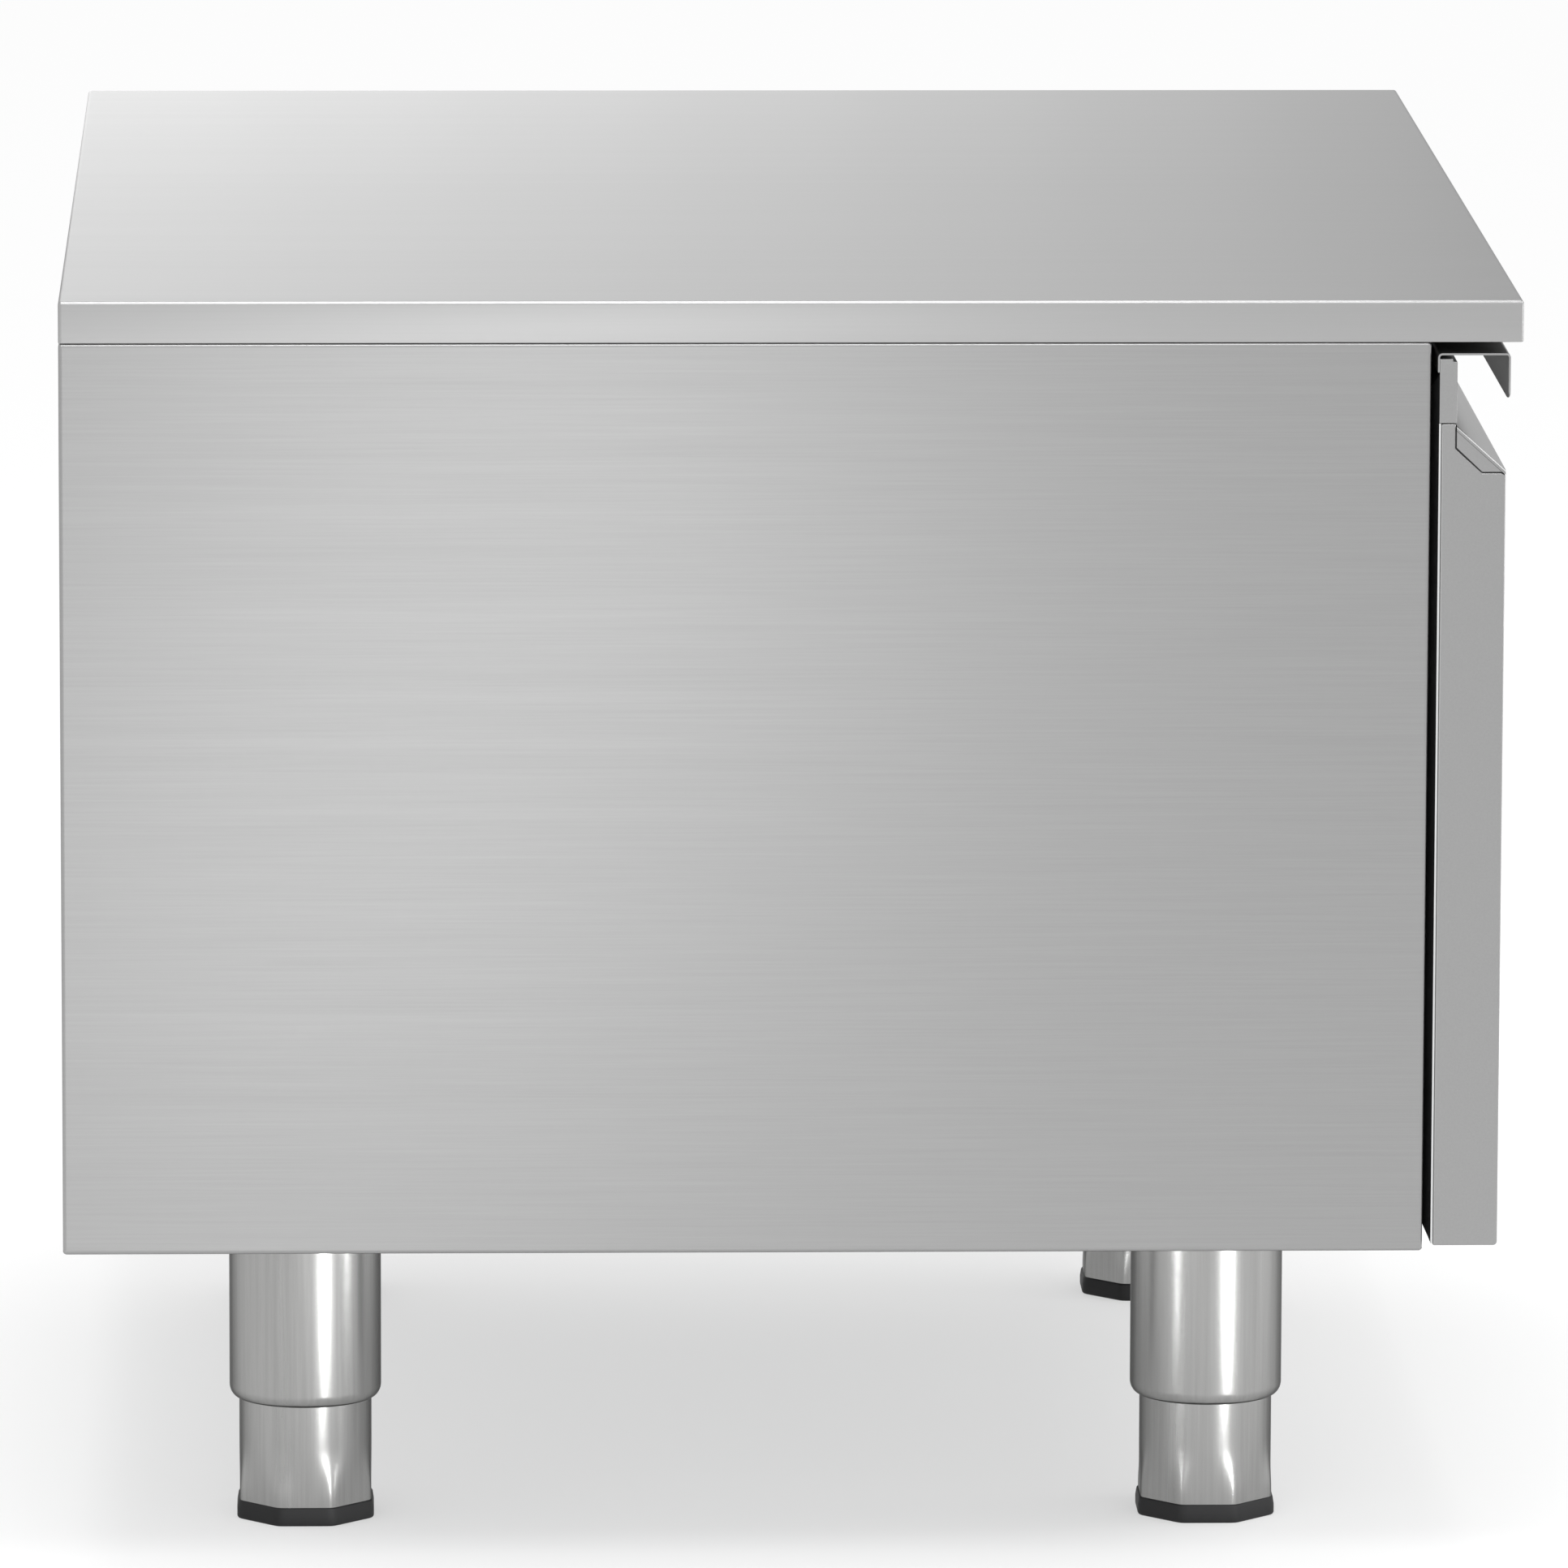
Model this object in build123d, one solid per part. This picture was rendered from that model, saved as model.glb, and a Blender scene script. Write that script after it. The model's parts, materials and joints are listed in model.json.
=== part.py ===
from build123d import *
import math
import os

# Low undercounter refrigerator, millimetres. +Z is up, the front faces -Y.
# The origin lies on the floor, under the middle of the worktop.

# Overall sizes
width = 914.0               # worktop, side to side
depth = 762.0               # worktop, front to rear
body_height = 482.0         # cabinet, from its underside to the worktop
leg_height = 175.0          # floor to the underside of the cabinet
top_thick = 22.0            # worktop

# Cabinet
sheet = 1.0                 # stainless sheet
bend = 2.0                  # outer radius of a fold
side_flange = 35.0          # width of the folds round a side panel
base_sheet = 1.2
base_upturn = 20.0
foam_side = 48.0
foam_rear = 48.0
foam_base = 50.0
foam_top = 44.0
liner_sheet = 1.0
bay_width = 286.0           # front panel of the machine bay
bay_lap = 14.0              # front frame beyond the divider
door_gap = 6.0              # between door and machine bay panel
edge_inset = 1.0            # door and bay panel inside the cabinet sides
loose = 0.3                 # clearance of pieces that lie beside each other
running = 0.05              # radial clearance of a pin in its bush

# Door
top_overhang = 8.5          # worktop beyond the door front
door_thick = 35.0
seal_gap = 4.5              # between cabinet and door, filled by the gasket
door_lift = 2.5             # door above the underside of the cabinet
worktop_gap = 6.0           # between worktop and handle channel
rail_thick = 9.2            # thin wall behind the finger recess
rail_height = 34.0
rail_wall = 1.2
rail_drop = 2.0             # rail below the handle flange
slope_drop = 23.3           # fall of the sloping face below the recess
slope_skin = 2.7            # sloping rail, measured vertically
slope_step = 1.0
plug_length = 12.0
plug_height = 9.0           # upright rear edge of the end plug
plug_run = 13.5
plug_fall = 12.7
lip_drop = 25.0             # handle lip, from the top of the flange
lip_lead = 2.0              # lip ahead of the door front
channel_leg = 10.0          # fold behind the rail
gasket_edge = 1.5           # gasket from the edge of the door
gasket_slant = 9.0
gasket_inner = 24.0

# Door hinge
hinge_in = 10.0             # axis from the right edge of the door
hinge_back = 9.0            # axis behind the door front
pin_radius = 4.0
pin_length = 28.0
bush_radius = 6.0
bush_flange = 8.0
bush_flange_thick = 2.0
bush_length = 25.0
block_width = 44.0
foot_block_height = 32.0
bracket_thick = 3.0
bracket_left = 22.0
bracket_right = 40.0
bracket_tail = 60.0

# Inside the cabinet
pilaster_width = 16.0
pilaster_thick = 6.0
pilaster_end = 20.0
pilaster_inset = 70.0
slot_pitch = 25.0
clip_reach = 16.0
clip_width = 12.0
clip_height = 12.0
shelf_rise = 165.0          # shelf above the cavity floor
shelf_rim = 3.0             # radius of the rim wire
shelf_wire = 1.75
shelf_pitch = 22.0
shelf_front_gap = 12.0
shelf_rear_gap = 12.0

# Evaporator, on the rear wall of the cavity
cover_width = 380.0
cover_height = 200.0
cover_depth = 96.0
evap_fan_radius = 60.0
evap_fan_gap = 6.0
evap_coil_width = 330.0
evap_coil_height = 140.0
evap_coil_depth = 36.0
evap_rows = 6
evap_fin_pitch = 11.0
tray_height = 16.0
tray_wall = 1.2
fin_thick = 0.6
tube_radius = 4.8
bend_stub = 3.0             # straight tube between end plate and return bend
end_plate = 1.5
port_reach = 21.0           # open tube ends beyond the end plate

# Machine bay
cond_left = 28.25          # condenser from the divider, room for the return bends
cond_right = 19.25         # and from the pipe lane
cond_height = 260.0
cond_depth = 44.0
cond_setback = 33.0         # condenser behind the cabinet front
cond_rows = 8
cond_fin_pitch = 9.0
cond_foot = 14.0            # bottom of the coil above the base
shroud_depth = 50.0
cond_fan_radius = 88.0
cond_fan_gap = 7.0
comp_radius = 78.0
comp_height = 165.0
comp_rear = 290.0           # compressor axis from the cabinet rear
comp_lift = 14.0
comp_plate = 3.0
pan_depth = 92.0
pan_height = 30.0
pan_wall = 1.5
pipe_radius = 4.8
pipe_wall = 1.0
capillary_radius = 1.5
drain_radius = 7.0
header = 16.0
pipe_lane = 17.0            # pipes from the inside of the right panel

# Controller
control_width = 71.0
control_height = 29.0
control_depth = 60.0
control_drop = 40.0         # centre below the top of the bay panel
bezel_rim = 4.0
bezel_thick = 3.0
button_radius = 3.6
button_travel = 1.0
button_pitch = 11.0
button_proud = 1.6
button_length = 12.0

# Legs
leg_side_inset = 164.0
leg_rear_inset = 126.4
leg_front_inset = 151.5
lip_depth = 4.6             # rolled lip of the sleeve, measured across
sleeve_wall = 1.5
sleeve_drop = 110.0
sleeve_roll = 6.5
leg_radius = 35.5
leg_clear = 0.6
leg_wall = 3.0
leg_reach = 33.0            # lower leg inside the sleeve
flare_height = 25.0
flat_step = 0.2             # flats of the octagon inside the round leg
cap_step = 1.4              # rubber cap beyond the flats
cap_height = 10.0
stem_radius = 8.0
level_travel = 18.0         # of the foot, each way
hub_thick = 18.0
hub_clear = 6.0             # between hub and lower leg at the end of the travel
stem_proud = 8.0            # stem above the hub
bolt_head = 3.0
sleeve_top = 3.0

# Planes that the sizes above give
left = -width / 2
right = width / 2
rear = depth / 2
front = -depth / 2
base_z = leg_height
body_top = leg_height + body_height
total_height = body_top + top_thick
door_front = front + top_overhang
door_rear = door_front + door_thick
body_front = door_rear + seal_gap
door_left = left + edge_inset
bay_right = right - edge_inset
bay_left = bay_right - bay_width
door_right = bay_left - door_gap
door_bottom = base_z + door_lift
flange_top = body_top - worktop_gap
rail_top = flange_top - sheet - rail_drop
rail_bottom = rail_top - rail_height
slope_top = rail_bottom - slope_step
divider_x = bay_left + 1.5          # face of the divider in the machine bay
floor_z = base_z + base_sheet
roof_z = body_top - sheet
wall_y = rear - 2 * sheet           # inner face of the rear panel
cav_left = left + sheet + foam_side + liner_sheet
cav_right = divider_x - sheet - foam_side - liner_sheet
cav_rear = wall_y - foam_rear - liner_sheet
cav_bottom = floor_z + foam_base + liner_sheet
cav_top = roof_z - foam_top - liner_sheet
hinge_x = door_right - hinge_in
hinge_y = door_front + hinge_back
block_left = door_right - block_width
lane_x = right - sheet - pipe_lane
cond_x0 = divider_x + cond_left
cond_x1 = lane_x - cond_right
sleeve_radius = leg_radius + leg_clear + lip_depth
foot_flat = leg_radius - flat_step      # half the octagon across its flats
cap_flat = foot_flat + cap_step
leg_places = {
    "front_left": (left + leg_side_inset, front + leg_front_inset),
    "front_right": (right - leg_side_inset, front + leg_front_inset),
    "rear_left": (left + leg_side_inset, rear - leg_rear_inset),
    "rear_right": (right - leg_side_inset, rear - leg_rear_inset),
}


def block(x0, x1, y0, y1, z0, z1):
    box = Box(x1 - x0, y1 - y0, z1 - z0)
    return Pos((x0 + x1) / 2, (y0 + y1) / 2, (z0 + z1) / 2) * box


def rod(radius, length, x, y, z, axis="Z"):
    # A cylinder that starts at the point and runs along the positive axis.
    turn = {"X": Rot(0, 90, 0), "Y": Rot(-90, 0, 0), "Z": Rot(0, 0, 0)}[axis]
    grow = (Align.CENTER, Align.CENTER, Align.MIN)
    return Pos(x, y, z) * turn * Cylinder(radius, length, align=grow)


def prism(points, x0, x1):
    # An outline of (y, z) points, run along X.
    outline = make_face(Polyline(*points, close=True))
    return extrude(Plane.YZ.offset(x0) * outline, x1 - x0)


def pipe(points, radius, turn, wall=0.0):
    path = FilletPolyline(*points, radius=turn)
    section = Circle(radius)
    if wall:
        section = Circle(radius) - Circle(radius - wall)
    return sweep(Plane(origin=path @ 0, z_dir=path % 0) * section, path=path)


def fuse(shapes):
    return shapes[0] + shapes[1:]


def spin(points, x, y):
    # An outline of (radius, z) points, turned about a vertical axis.
    outline = Plane.XZ * make_face(Polyline(*points, close=True))
    return Pos(x, y, 0) * revolve(outline, Axis.Z)


def door_y(u):
    # A place in the door, measured forward from its rear face.
    return door_rear - u


def slope_z(u):
    # Height of the sloping face at a place in the door.
    return slope_top - slope_drop * (u - rail_thick) / (door_thick - rail_thick)


def screw_places():
    # Long screws of the bay panel: x and z.
    low = door_bottom + 14
    high = flange_top - 14
    places = []
    for x in (bay_left + 9, bay_right - 12):
        places.append((x, low))
        places.append((x, high))
    return places


def bracket_screws(z):
    # Two screws beside the hinge pin, in the part of the bracket that lies flat.
    y = hinge_y if z > base_z + body_height / 2 else body_front + bracket_tail / 2
    return [(hinge_x - 14, y, z), (hinge_x + 26, y, z)]


# Worktop

def worktop_skin():
    outer = block(left, right, front, rear, body_top, total_height)
    rim = outer.edges().group_by(Axis.Z)[-1] + outer.edges().filter_by(Axis.Z)
    inner = block(left + sheet, right - sheet, front + sheet, rear - sheet,
                  body_top - 1, total_height - sheet)
    return fillet(rim, bend) - inner


def worktop_core():
    inset = sheet + loose
    core = block(left + inset, right - inset, front + inset, rear - inset,
                 body_top, total_height - sheet)
    for x, y, z in bracket_screws(body_top):
        core -= rod(2.0, 12, x, y, body_top)
    return core


# Cabinet

def side_panel(sign):
    # A sheet with folds along its front, rear and top edges.
    x_out = sign * width / 2
    x_in = x_out - sign * side_flange
    outer = block(min(x_out, x_in), max(x_out, x_in), body_front, rear, base_z, body_top)
    face_edges = outer.edges().group_by(Axis.X)[0 if sign < 0 else -1]
    outer = fillet(face_edges.sort_by(Axis.Z)[1:], bend)
    cut_out = x_out - sign * sheet
    cut_in = x_in - sign * 10
    inner = block(min(cut_out, cut_in), max(cut_out, cut_in), body_front + sheet,
                  rear - sheet, base_z - 10, body_top - sheet)
    face_edges = inner.edges().group_by(Axis.X)[0 if sign < 0 else -1]
    panel = outer - fillet(face_edges.sort_by(Axis.Z)[1:], bend - sheet)
    for x, z in screw_places():
        panel -= rod(2.2, 10, x, body_front - 5, z, "Y")
    return panel


def inlet_place():
    return right - 60, base_z + 60


def rear_panel():
    panel = block(left + bend, right - bend, wall_y, rear - sheet, floor_z, roof_z - sheet)
    x, z = inlet_place()
    panel -= block(x - 14, x + 14, wall_y - 5, rear, z - 12, z + 12)
    slots = []
    for row in range(9):
        z = base_z + body_height - 90 - row * 18
        slots.append(block(divider_x + 40, right - 60, wall_y - 5, rear, z - 3, z + 3))
    return panel - slots


def base_panel():
    x0 = left + sheet
    x1 = right - sheet
    y0 = body_front + bend + loose
    y1 = rear - bend - loose
    panel = block(x0, x1, y0, y1, base_z, floor_z)
    for a, b in ((x0, x0 + base_sheet), (x1 - base_sheet, x1)):
        panel += block(a, b, y0, y1, base_z, base_z + base_upturn)
    for x, y in leg_places.values():
        panel -= rod(6.3, 10, x, y, base_z - 5)
    for x, y, z in bracket_screws(base_z):
        panel -= rod(2.2, 10, x, y, base_z - 5)
    return panel


def pass_throughs():
    # Holes in the divider for the drain and the two refrigerant lines.
    y = coil_y()
    lines = ((drain_radius, drain_z()), (pipe_radius, suction_z()), (capillary_radius, feed_z()))
    holes = []
    for radius, z in lines:
        holes.append(rod(radius + loose, foam_side + 10, cav_right - 5, y, z, "X"))
    return holes


def divider_panel():
    panel = block(divider_x - sheet, divider_x, body_front + sheet, wall_y, floor_z, roof_z)
    return panel - pass_throughs()


def cabinet_foam():
    # Foam between the outer sheets and the liner, on five sides of the cavity.
    foam = block(left + sheet, divider_x - sheet, body_front + sheet, wall_y, floor_z, roof_z)
    outer = foam.edges().group_by(Axis.X)[0]
    foam = fillet(outer.sort_by(Axis.Z)[-1:] + outer.filter_by(Axis.Z).sort_by(Axis.Y)[:1],
                  bend - sheet)
    foam -= block(cav_left - liner_sheet, cav_right + liner_sheet, body_front - 10,
                  cav_rear + liner_sheet, cav_bottom - liner_sheet, cav_top + liner_sheet)
    foam -= block(left + sheet, left + sheet + base_sheet, body_front, wall_y,
                  floor_z, base_z + base_upturn)
    for name in ("front_left", "rear_left"):
        x, y = leg_places[name]
        foam -= rod(12.0, 16, x, y, floor_z)
    for x, y, z in bracket_screws(base_z):
        foam -= rod(2.2, 12, x, y, floor_z)
    foam -= rod(2.2, 25, screw_places()[0][0], body_front, screw_places()[0][1], "Y")
    return foam - pass_throughs()


def inner_liner():
    t = liner_sheet
    y0 = body_front + sheet
    liner = block(cav_left - t, cav_right + t, y0, cav_rear + t, cav_bottom - t, cav_top + t)
    liner -= block(cav_left, cav_right, y0 - 5, cav_rear, cav_bottom, cav_top)
    return liner - pass_throughs()


def front_frame():
    # Stainless frame round the cavity; it also carries the bay panel's left edge.
    x0 = left + side_flange + loose
    x1 = divider_x + bay_lap
    frame = block(x0, x1, body_front, body_front + sheet, base_z, roof_z)
    frame -= block(cav_left, cav_right, body_front - 5, body_front + 5, cav_bottom, cav_top)
    for x, z in screw_places()[:2]:
        frame -= rod(2.2, 10, x, body_front - 5, z, "Y")
    return frame


# Shelf and its supports

def pilaster_spots():
    # Wall side, y: two strips on each side wall.
    ys = (body_front + pilaster_inset, cav_rear - cover_depth - pilaster_inset)
    return [(side, y) for side in (-1, 1) for y in ys]


def shelf_pilasters():
    strips = []
    for side, y in pilaster_spots():
        wall = cav_left if side < 0 else cav_right
        inner = wall - side * pilaster_thick
        z0 = cav_bottom + pilaster_end
        z1 = cav_top - pilaster_end
        strip = block(min(wall, inner), max(wall, inner), y - pilaster_width / 2,
                      y + pilaster_width / 2, z0, z1)
        slots = []
        for row in range(int((z1 - z0 - slot_pitch) // slot_pitch)):
            z = z0 + slot_pitch * (row + 1)
            depth_x = inner + side * 2
            slots.append(block(min(inner, depth_x), max(inner, depth_x), y - 3, y + 3,
                               z - 4, z + 4))
        strips.append(strip - slots)
    return fuse(strips)


def shelf_z():
    return cav_bottom + shelf_rise


def shelf_clips():
    clips = []
    top = shelf_z() - shelf_rim
    for side, y in pilaster_spots():
        wall = cav_left + pilaster_thick if side < 0 else cav_right - pilaster_thick
        tip = wall - side * clip_reach
        clips.append(block(min(wall, tip), max(wall, tip), y - clip_width / 2,
                           y + clip_width / 2, top - clip_height, top))
    return fuse(clips)


def wire_shelf():
    inset = pilaster_thick + shelf_rim + 2
    x0 = cav_left + inset
    x1 = cav_right - inset
    y0 = body_front + shelf_front_gap
    y1 = cav_rear - cover_depth - shelf_rear_gap
    outline = RectangleRounded(x1 - x0, y1 - y0, 15).wires()[0]
    loop = Pos((x0 + x1) / 2, (y0 + y1) / 2, shelf_z()) * outline
    rim = sweep(Plane(origin=loop @ 0, z_dir=loop % 0) * Circle(shelf_rim), path=loop)
    count = int((x1 - x0 - 30) // shelf_pitch)
    start = (x0 + x1) / 2 - shelf_pitch * (count - 1) / 2
    lift = shelf_z() + shelf_rim + shelf_wire - 0.6
    wires = []
    for n in range(count):
        wires.append(rod(shelf_wire, y1 - y0, start + n * shelf_pitch, y0, lift, "Y"))
    bars = []
    for share in (0.33, 0.67):
        y = y0 + share * (y1 - y0)
        bars.append(rod(shelf_rim, x1 - x0, x0, y, shelf_z(), "X"))
    return rim + bars + wires


# Evaporator

def evap_x():
    return (cav_left + cav_right) / 2


def evap_z():
    return cav_top - cover_height / 2


def coil_y():
    return cav_rear - loose - evap_coil_depth / 2


def coil_base():
    return cav_top - cover_height + tray_height + 14


def drain_z():
    return cav_top - cover_height + 10


def suction_z():
    return coil_base() + evap_coil_height / evap_rows / 2


def feed_z():
    return coil_base() + evap_coil_height * (1 - 0.5 / evap_rows)


def coil(x0, x1, y, z0, height, rows, pitch, deep, reach):
    # Fins on straight tubes, with return bends. Both open ends are on the right.
    step = height / rows
    fins = []
    for n in range(1, int((x1 - x0) // pitch)):
        x = x0 + n * pitch
        fins.append(block(x, x + fin_thick, y - deep / 2, y + deep / 2, z0, z0 + height))
    tubes = []
    for row in range(rows):
        z = z0 + step * (row + 0.5)
        open_end = row in (0, rows - 1)
        tip = x1 + reach if open_end else x1 + bend_stub
        tubes.append(rod(tube_radius, tip - x0 + bend_stub, x0 - bend_stub, y, z, "X"))
        if row + 1 < rows:
            side = -1 if row % 2 == 0 else 1
            end = x1 + bend_stub if side > 0 else x0 - bend_stub
            arc = Plane((end, y, z + step / 2), z_dir=(0, -1, 0), x_dir=(1, 0, 0))
            arc = arc * CenterArc((0, 0), step / 2, -90, 180 * side)
            start = Plane(origin=arc @ 0, z_dir=arc % 0)
            tubes.append(sweep(start * Circle(tube_radius), path=arc))
    return tubes[0] + tubes[1:] + fins


def evaporator_coil():
    x0 = evap_x() - evap_coil_width / 2
    x1 = evap_x() + evap_coil_width / 2
    y0 = coil_y() - evap_coil_depth / 2
    body = coil(x0, x1, coil_y(), coil_base(), evap_coil_height, evap_rows, evap_fin_pitch,
                evap_coil_depth, port_reach)
    plates = [block(x, x + end_plate, y0, cav_rear, coil_base() - 4, cav_top)
              for x in (x0, x1 - end_plate)]
    return body + plates


def evaporator_cover():
    x0 = evap_x() - cover_width / 2
    x1 = evap_x() + cover_width / 2
    y0 = cav_rear - cover_depth
    z0 = cav_top - cover_height
    cover = block(x0, x1, y0, cav_rear, z0, cav_top)
    cover = fillet(cover.edges().filter_by(Axis.Z).group_by(Axis.Y)[0], 4)
    cover -= block(x0 + sheet, x1 - sheet, y0 + sheet, cav_rear + 5, z0 + sheet, cav_top + 5)
    cover -= rod(evap_fan_radius + evap_fan_gap, 10, evap_x(), y0 - 5, evap_z(), "Y")
    slots = []
    for n in range(6):
        for side in (-1, 1):
            x = evap_x() + side * (evap_fan_radius + 30 + n * 14)
            slots.append(block(x - 3, x + 3, y0 - 5, y0 + 5, z0 + 40, cav_top - 40))
    y = coil_y()
    for radius, z in ((drain_radius, drain_z()), (pipe_radius, suction_z()),
                      (capillary_radius, feed_z())):
        slots.append(rod(radius + loose, 20, x1 - 10, y, z, "X"))
    return cover - slots


def fan_motor(x, y, z, radius, length, shaft, shaft_length, arm_radius, stud_length):
    # The motor body lies behind y, its shaft and its studs reach forward of it.
    body = rod(radius, length, x, y, z, "Y")
    pieces = [rod(shaft, shaft_length, x, y - shaft_length, z, "Y")]
    for n in range(4):
        angle = 45 + 90 * n
        arm = Box(arm_radius - radius / 2 + 5, 3, 10)
        arm = Pos((arm_radius + radius / 2 + 5) / 2, 1.5, 0) * arm
        pieces.append(Pos(x, y, z) * Rot(0, angle, 0) * arm)
        stud = Pos(arm_radius, 0, 0) * rod(4.0, stud_length + 3, 0, -stud_length, 0, "Y")
        pieces.append(Pos(x, y, z) * Rot(0, angle, 0) * stud)
    return body + pieces


def fan_blade(x, y, z, radius, hub, thick, bore, count, pitch_deg):
    # A hub with blades set at an angle to the plane of the fan.
    wheel = rod(hub, thick, x, y, z, "Y")
    blades = []
    for n in range(count):
        blade = extrude(Plane.XY * Trapezoid(radius * 0.62, radius - hub + 4, 80), 1.5)
        blade = Pos(0, 0, (radius + hub - 4) / 2) * Rot(90, 0, 0) * blade
        blade = Rot(0, 0, pitch_deg) * (Pos(0, 0.75, 0) * blade)
        blades.append(Pos(x, y + thick / 2, z) * Rot(0, n * 360 / count, 0) * blade)
    round_off = rod(radius, thick, x, y, z, "Y")
    wheel = (wheel + blades) & round_off
    return wheel - rod(bore, thick + 10, x, y - 5, z, "Y")


evap_fan_y = cav_rear - cover_depth + 5
evap_motor_y = evap_fan_y + 18


def evaporator_fan_motor():
    stud = evap_motor_y - (cav_rear - cover_depth + sheet)
    return fan_motor(evap_x(), evap_motor_y, evap_z(), 24, 30, 3.0, 16,
                     evap_fan_radius + evap_fan_gap + 6, stud)


def evaporator_fan_blade():
    return fan_blade(evap_x(), evap_fan_y, evap_z(), evap_fan_radius, 16, 14, 3.0 + running, 5, 24)


def drip_tray():
    z0 = cav_top - cover_height + sheet
    x0 = evap_x() - evap_coil_width / 2 - 6
    x1 = evap_x() + evap_coil_width / 2 + 6
    y0 = coil_y() - evap_coil_depth / 2 - 4
    tray = block(x0, x1, y0, cav_rear - loose, z0, z0 + tray_height)
    tray -= block(x0 + tray_wall, x1 - tray_wall, y0 + tray_wall, cav_rear - loose - tray_wall,
                  z0 + tray_wall, z0 + tray_height + 5)
    return tray - rod(drain_radius - 1.2, 20, x1 - 10, coil_y(), drain_z(), "X")


def drain_tube():
    x0 = evap_x() + evap_coil_width / 2 + 6
    y = coil_y()
    x1 = divider_x + 24
    low = floor_z + pan_height + 8
    return pipe([(x0, y, drain_z()), (x1, y, drain_z()), (x1, y, low)], drain_radius, 20, 1.2)


# Machine bay

def cond_x():
    return (cond_x0 + cond_x1) / 2


def cond_z():
    return floor_z + cond_foot + cond_height / 2


cond_y0 = body_front + cond_setback
shroud_y0 = cond_y0 + cond_depth
shroud_y1 = shroud_y0 + shroud_depth


def condenser_coil():
    x0 = cond_x0
    x1 = cond_x1
    y = cond_y0 + cond_depth / 2
    z0 = floor_z + cond_foot
    body = coil(x0, x1, y, z0, cond_height, cond_rows, cond_fin_pitch, cond_depth, lane_x - x1)
    extra = []
    for x in (x0, x1 - end_plate):
        extra.append(block(x, x + end_plate, cond_y0, shroud_y0, floor_z, z0 + cond_height))
    for top in (False, True):
        z = header_z(top)
        extra.append(block(lane_x - header / 2, lane_x + header / 2, y - header / 2,
                           y + header / 2, z - header / 2, z + header / 2))
    return body + extra


def header_z(top):
    step = cond_height / cond_rows
    z0 = floor_z + cond_foot
    return z0 + cond_height - step / 2 if top else z0 + step / 2


def condenser_shroud():
    x0 = cond_x0
    x1 = cond_x1
    z0 = floor_z + cond_foot
    z1 = z0 + cond_height
    shroud = block(x0, x1, shroud_y0, shroud_y1, z0, z1)
    shroud -= block(x0 + sheet, x1 - sheet, shroud_y0 - 5, shroud_y1 - sheet, z0 + sheet, z1 - sheet)
    hole = cond_fan_radius + cond_fan_gap
    return shroud - rod(hole, 20, cond_x(), shroud_y1 - 10, cond_z(), "Y")


cond_fan_y = shroud_y1 - 12
cond_motor_y = cond_fan_y + 26


def condenser_fan_motor():
    return fan_motor(cond_x(), cond_motor_y, cond_z(), 36, 50, 4.0, 24,
                     cond_fan_radius + cond_fan_gap + 8, cond_motor_y - shroud_y1)


def condenser_fan_blade():
    return fan_blade(cond_x(), cond_fan_y, cond_z(), cond_fan_radius, 22, 20, 4.0 + running, 5, 26)


def comp_place():
    return cond_x(), rear - comp_rear


def mount_spots():
    x, y = comp_place()
    return [(x + a * 82, y + b * 62) for a in (-1, 1) for b in (-1, 1)]


def compressor_shell():
    x, y = comp_place()
    z0 = floor_z + comp_lift
    z1 = z0 + comp_height
    shell = rod(comp_radius, comp_height, x, y, z0)
    shell = fillet(shell.edges().group_by(Axis.Z)[-1], 40)
    shell = fillet(shell.edges().group_by(Axis.Z)[0], 12)
    seam = rod(comp_radius + 2, 4, x, y, z0 + comp_height / 2 - 2)
    plate = block(x - 95, x + 95, y - 75, y + 75, z0, z0 + comp_plate)
    plate = fillet(plate.edges().filter_by(Axis.Z), 14)
    whole = shell + [seam, plate]
    for a, b in mount_spots():
        whole -= rod(5.2, 20, a, b, z0 - 5)
    return whole


def compressor_mounts():
    # Rubber feet with a stud that passes the plate and a nut above it.
    mounts = []
    z0 = floor_z + comp_lift
    for x, y in mount_spots():
        foot = spin([(0, floor_z), (12, floor_z), (9, z0), (5, z0), (5, z0 + comp_plate),
                     (8, z0 + comp_plate), (8, z0 + comp_plate + 4), (0, z0 + comp_plate + 4)],
                    x, y)
        mounts.append(foot)
    return fuse(mounts)


def relay_box():
    x, y = comp_place()
    z = floor_z + comp_lift + comp_height / 2 + 12
    box = block(x - 25, x + 25, y + comp_radius - 6, y + comp_radius + 32, z, z + 48)
    return box - rod(comp_radius + 0.2, 120, x, y, z - 10)


def condensate_pan():
    x0 = divider_x + 8
    x1 = right - sheet - 30
    y1 = wall_y - 10
    y0 = y1 - pan_depth
    pan = block(x0, x1, y0, y1, floor_z, floor_z + pan_height)
    return pan - block(x0 + pan_wall, x1 - pan_wall, y0 + pan_wall, y1 - pan_wall,
                       floor_z + pan_wall, floor_z + pan_height + 5)


def pipe_port():
    # Height of both pipe stubs on the compressor.
    return floor_z + comp_lift + 50


def discharge_pipe():
    x, y = comp_place()
    z1 = header_z(True)
    end = cond_y0 + cond_depth / 2 + header / 2
    points = [(x + comp_radius, y, pipe_port()), (lane_x, y, pipe_port()), (lane_x, y, z1),
              (lane_x, end, z1)]
    return pipe(points, pipe_radius, 14, pipe_wall)


def suction_pipe():
    x, y = comp_place()
    lane = x - comp_radius - 24
    start = evap_x() + evap_coil_width / 2 + port_reach
    points = [(start, coil_y(), suction_z()), (lane, coil_y(), suction_z()),
              (lane, y, suction_z()), (lane, y, pipe_port()), (x - comp_radius, y, pipe_port())]
    return pipe(points, pipe_radius, 14, pipe_wall)


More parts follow.
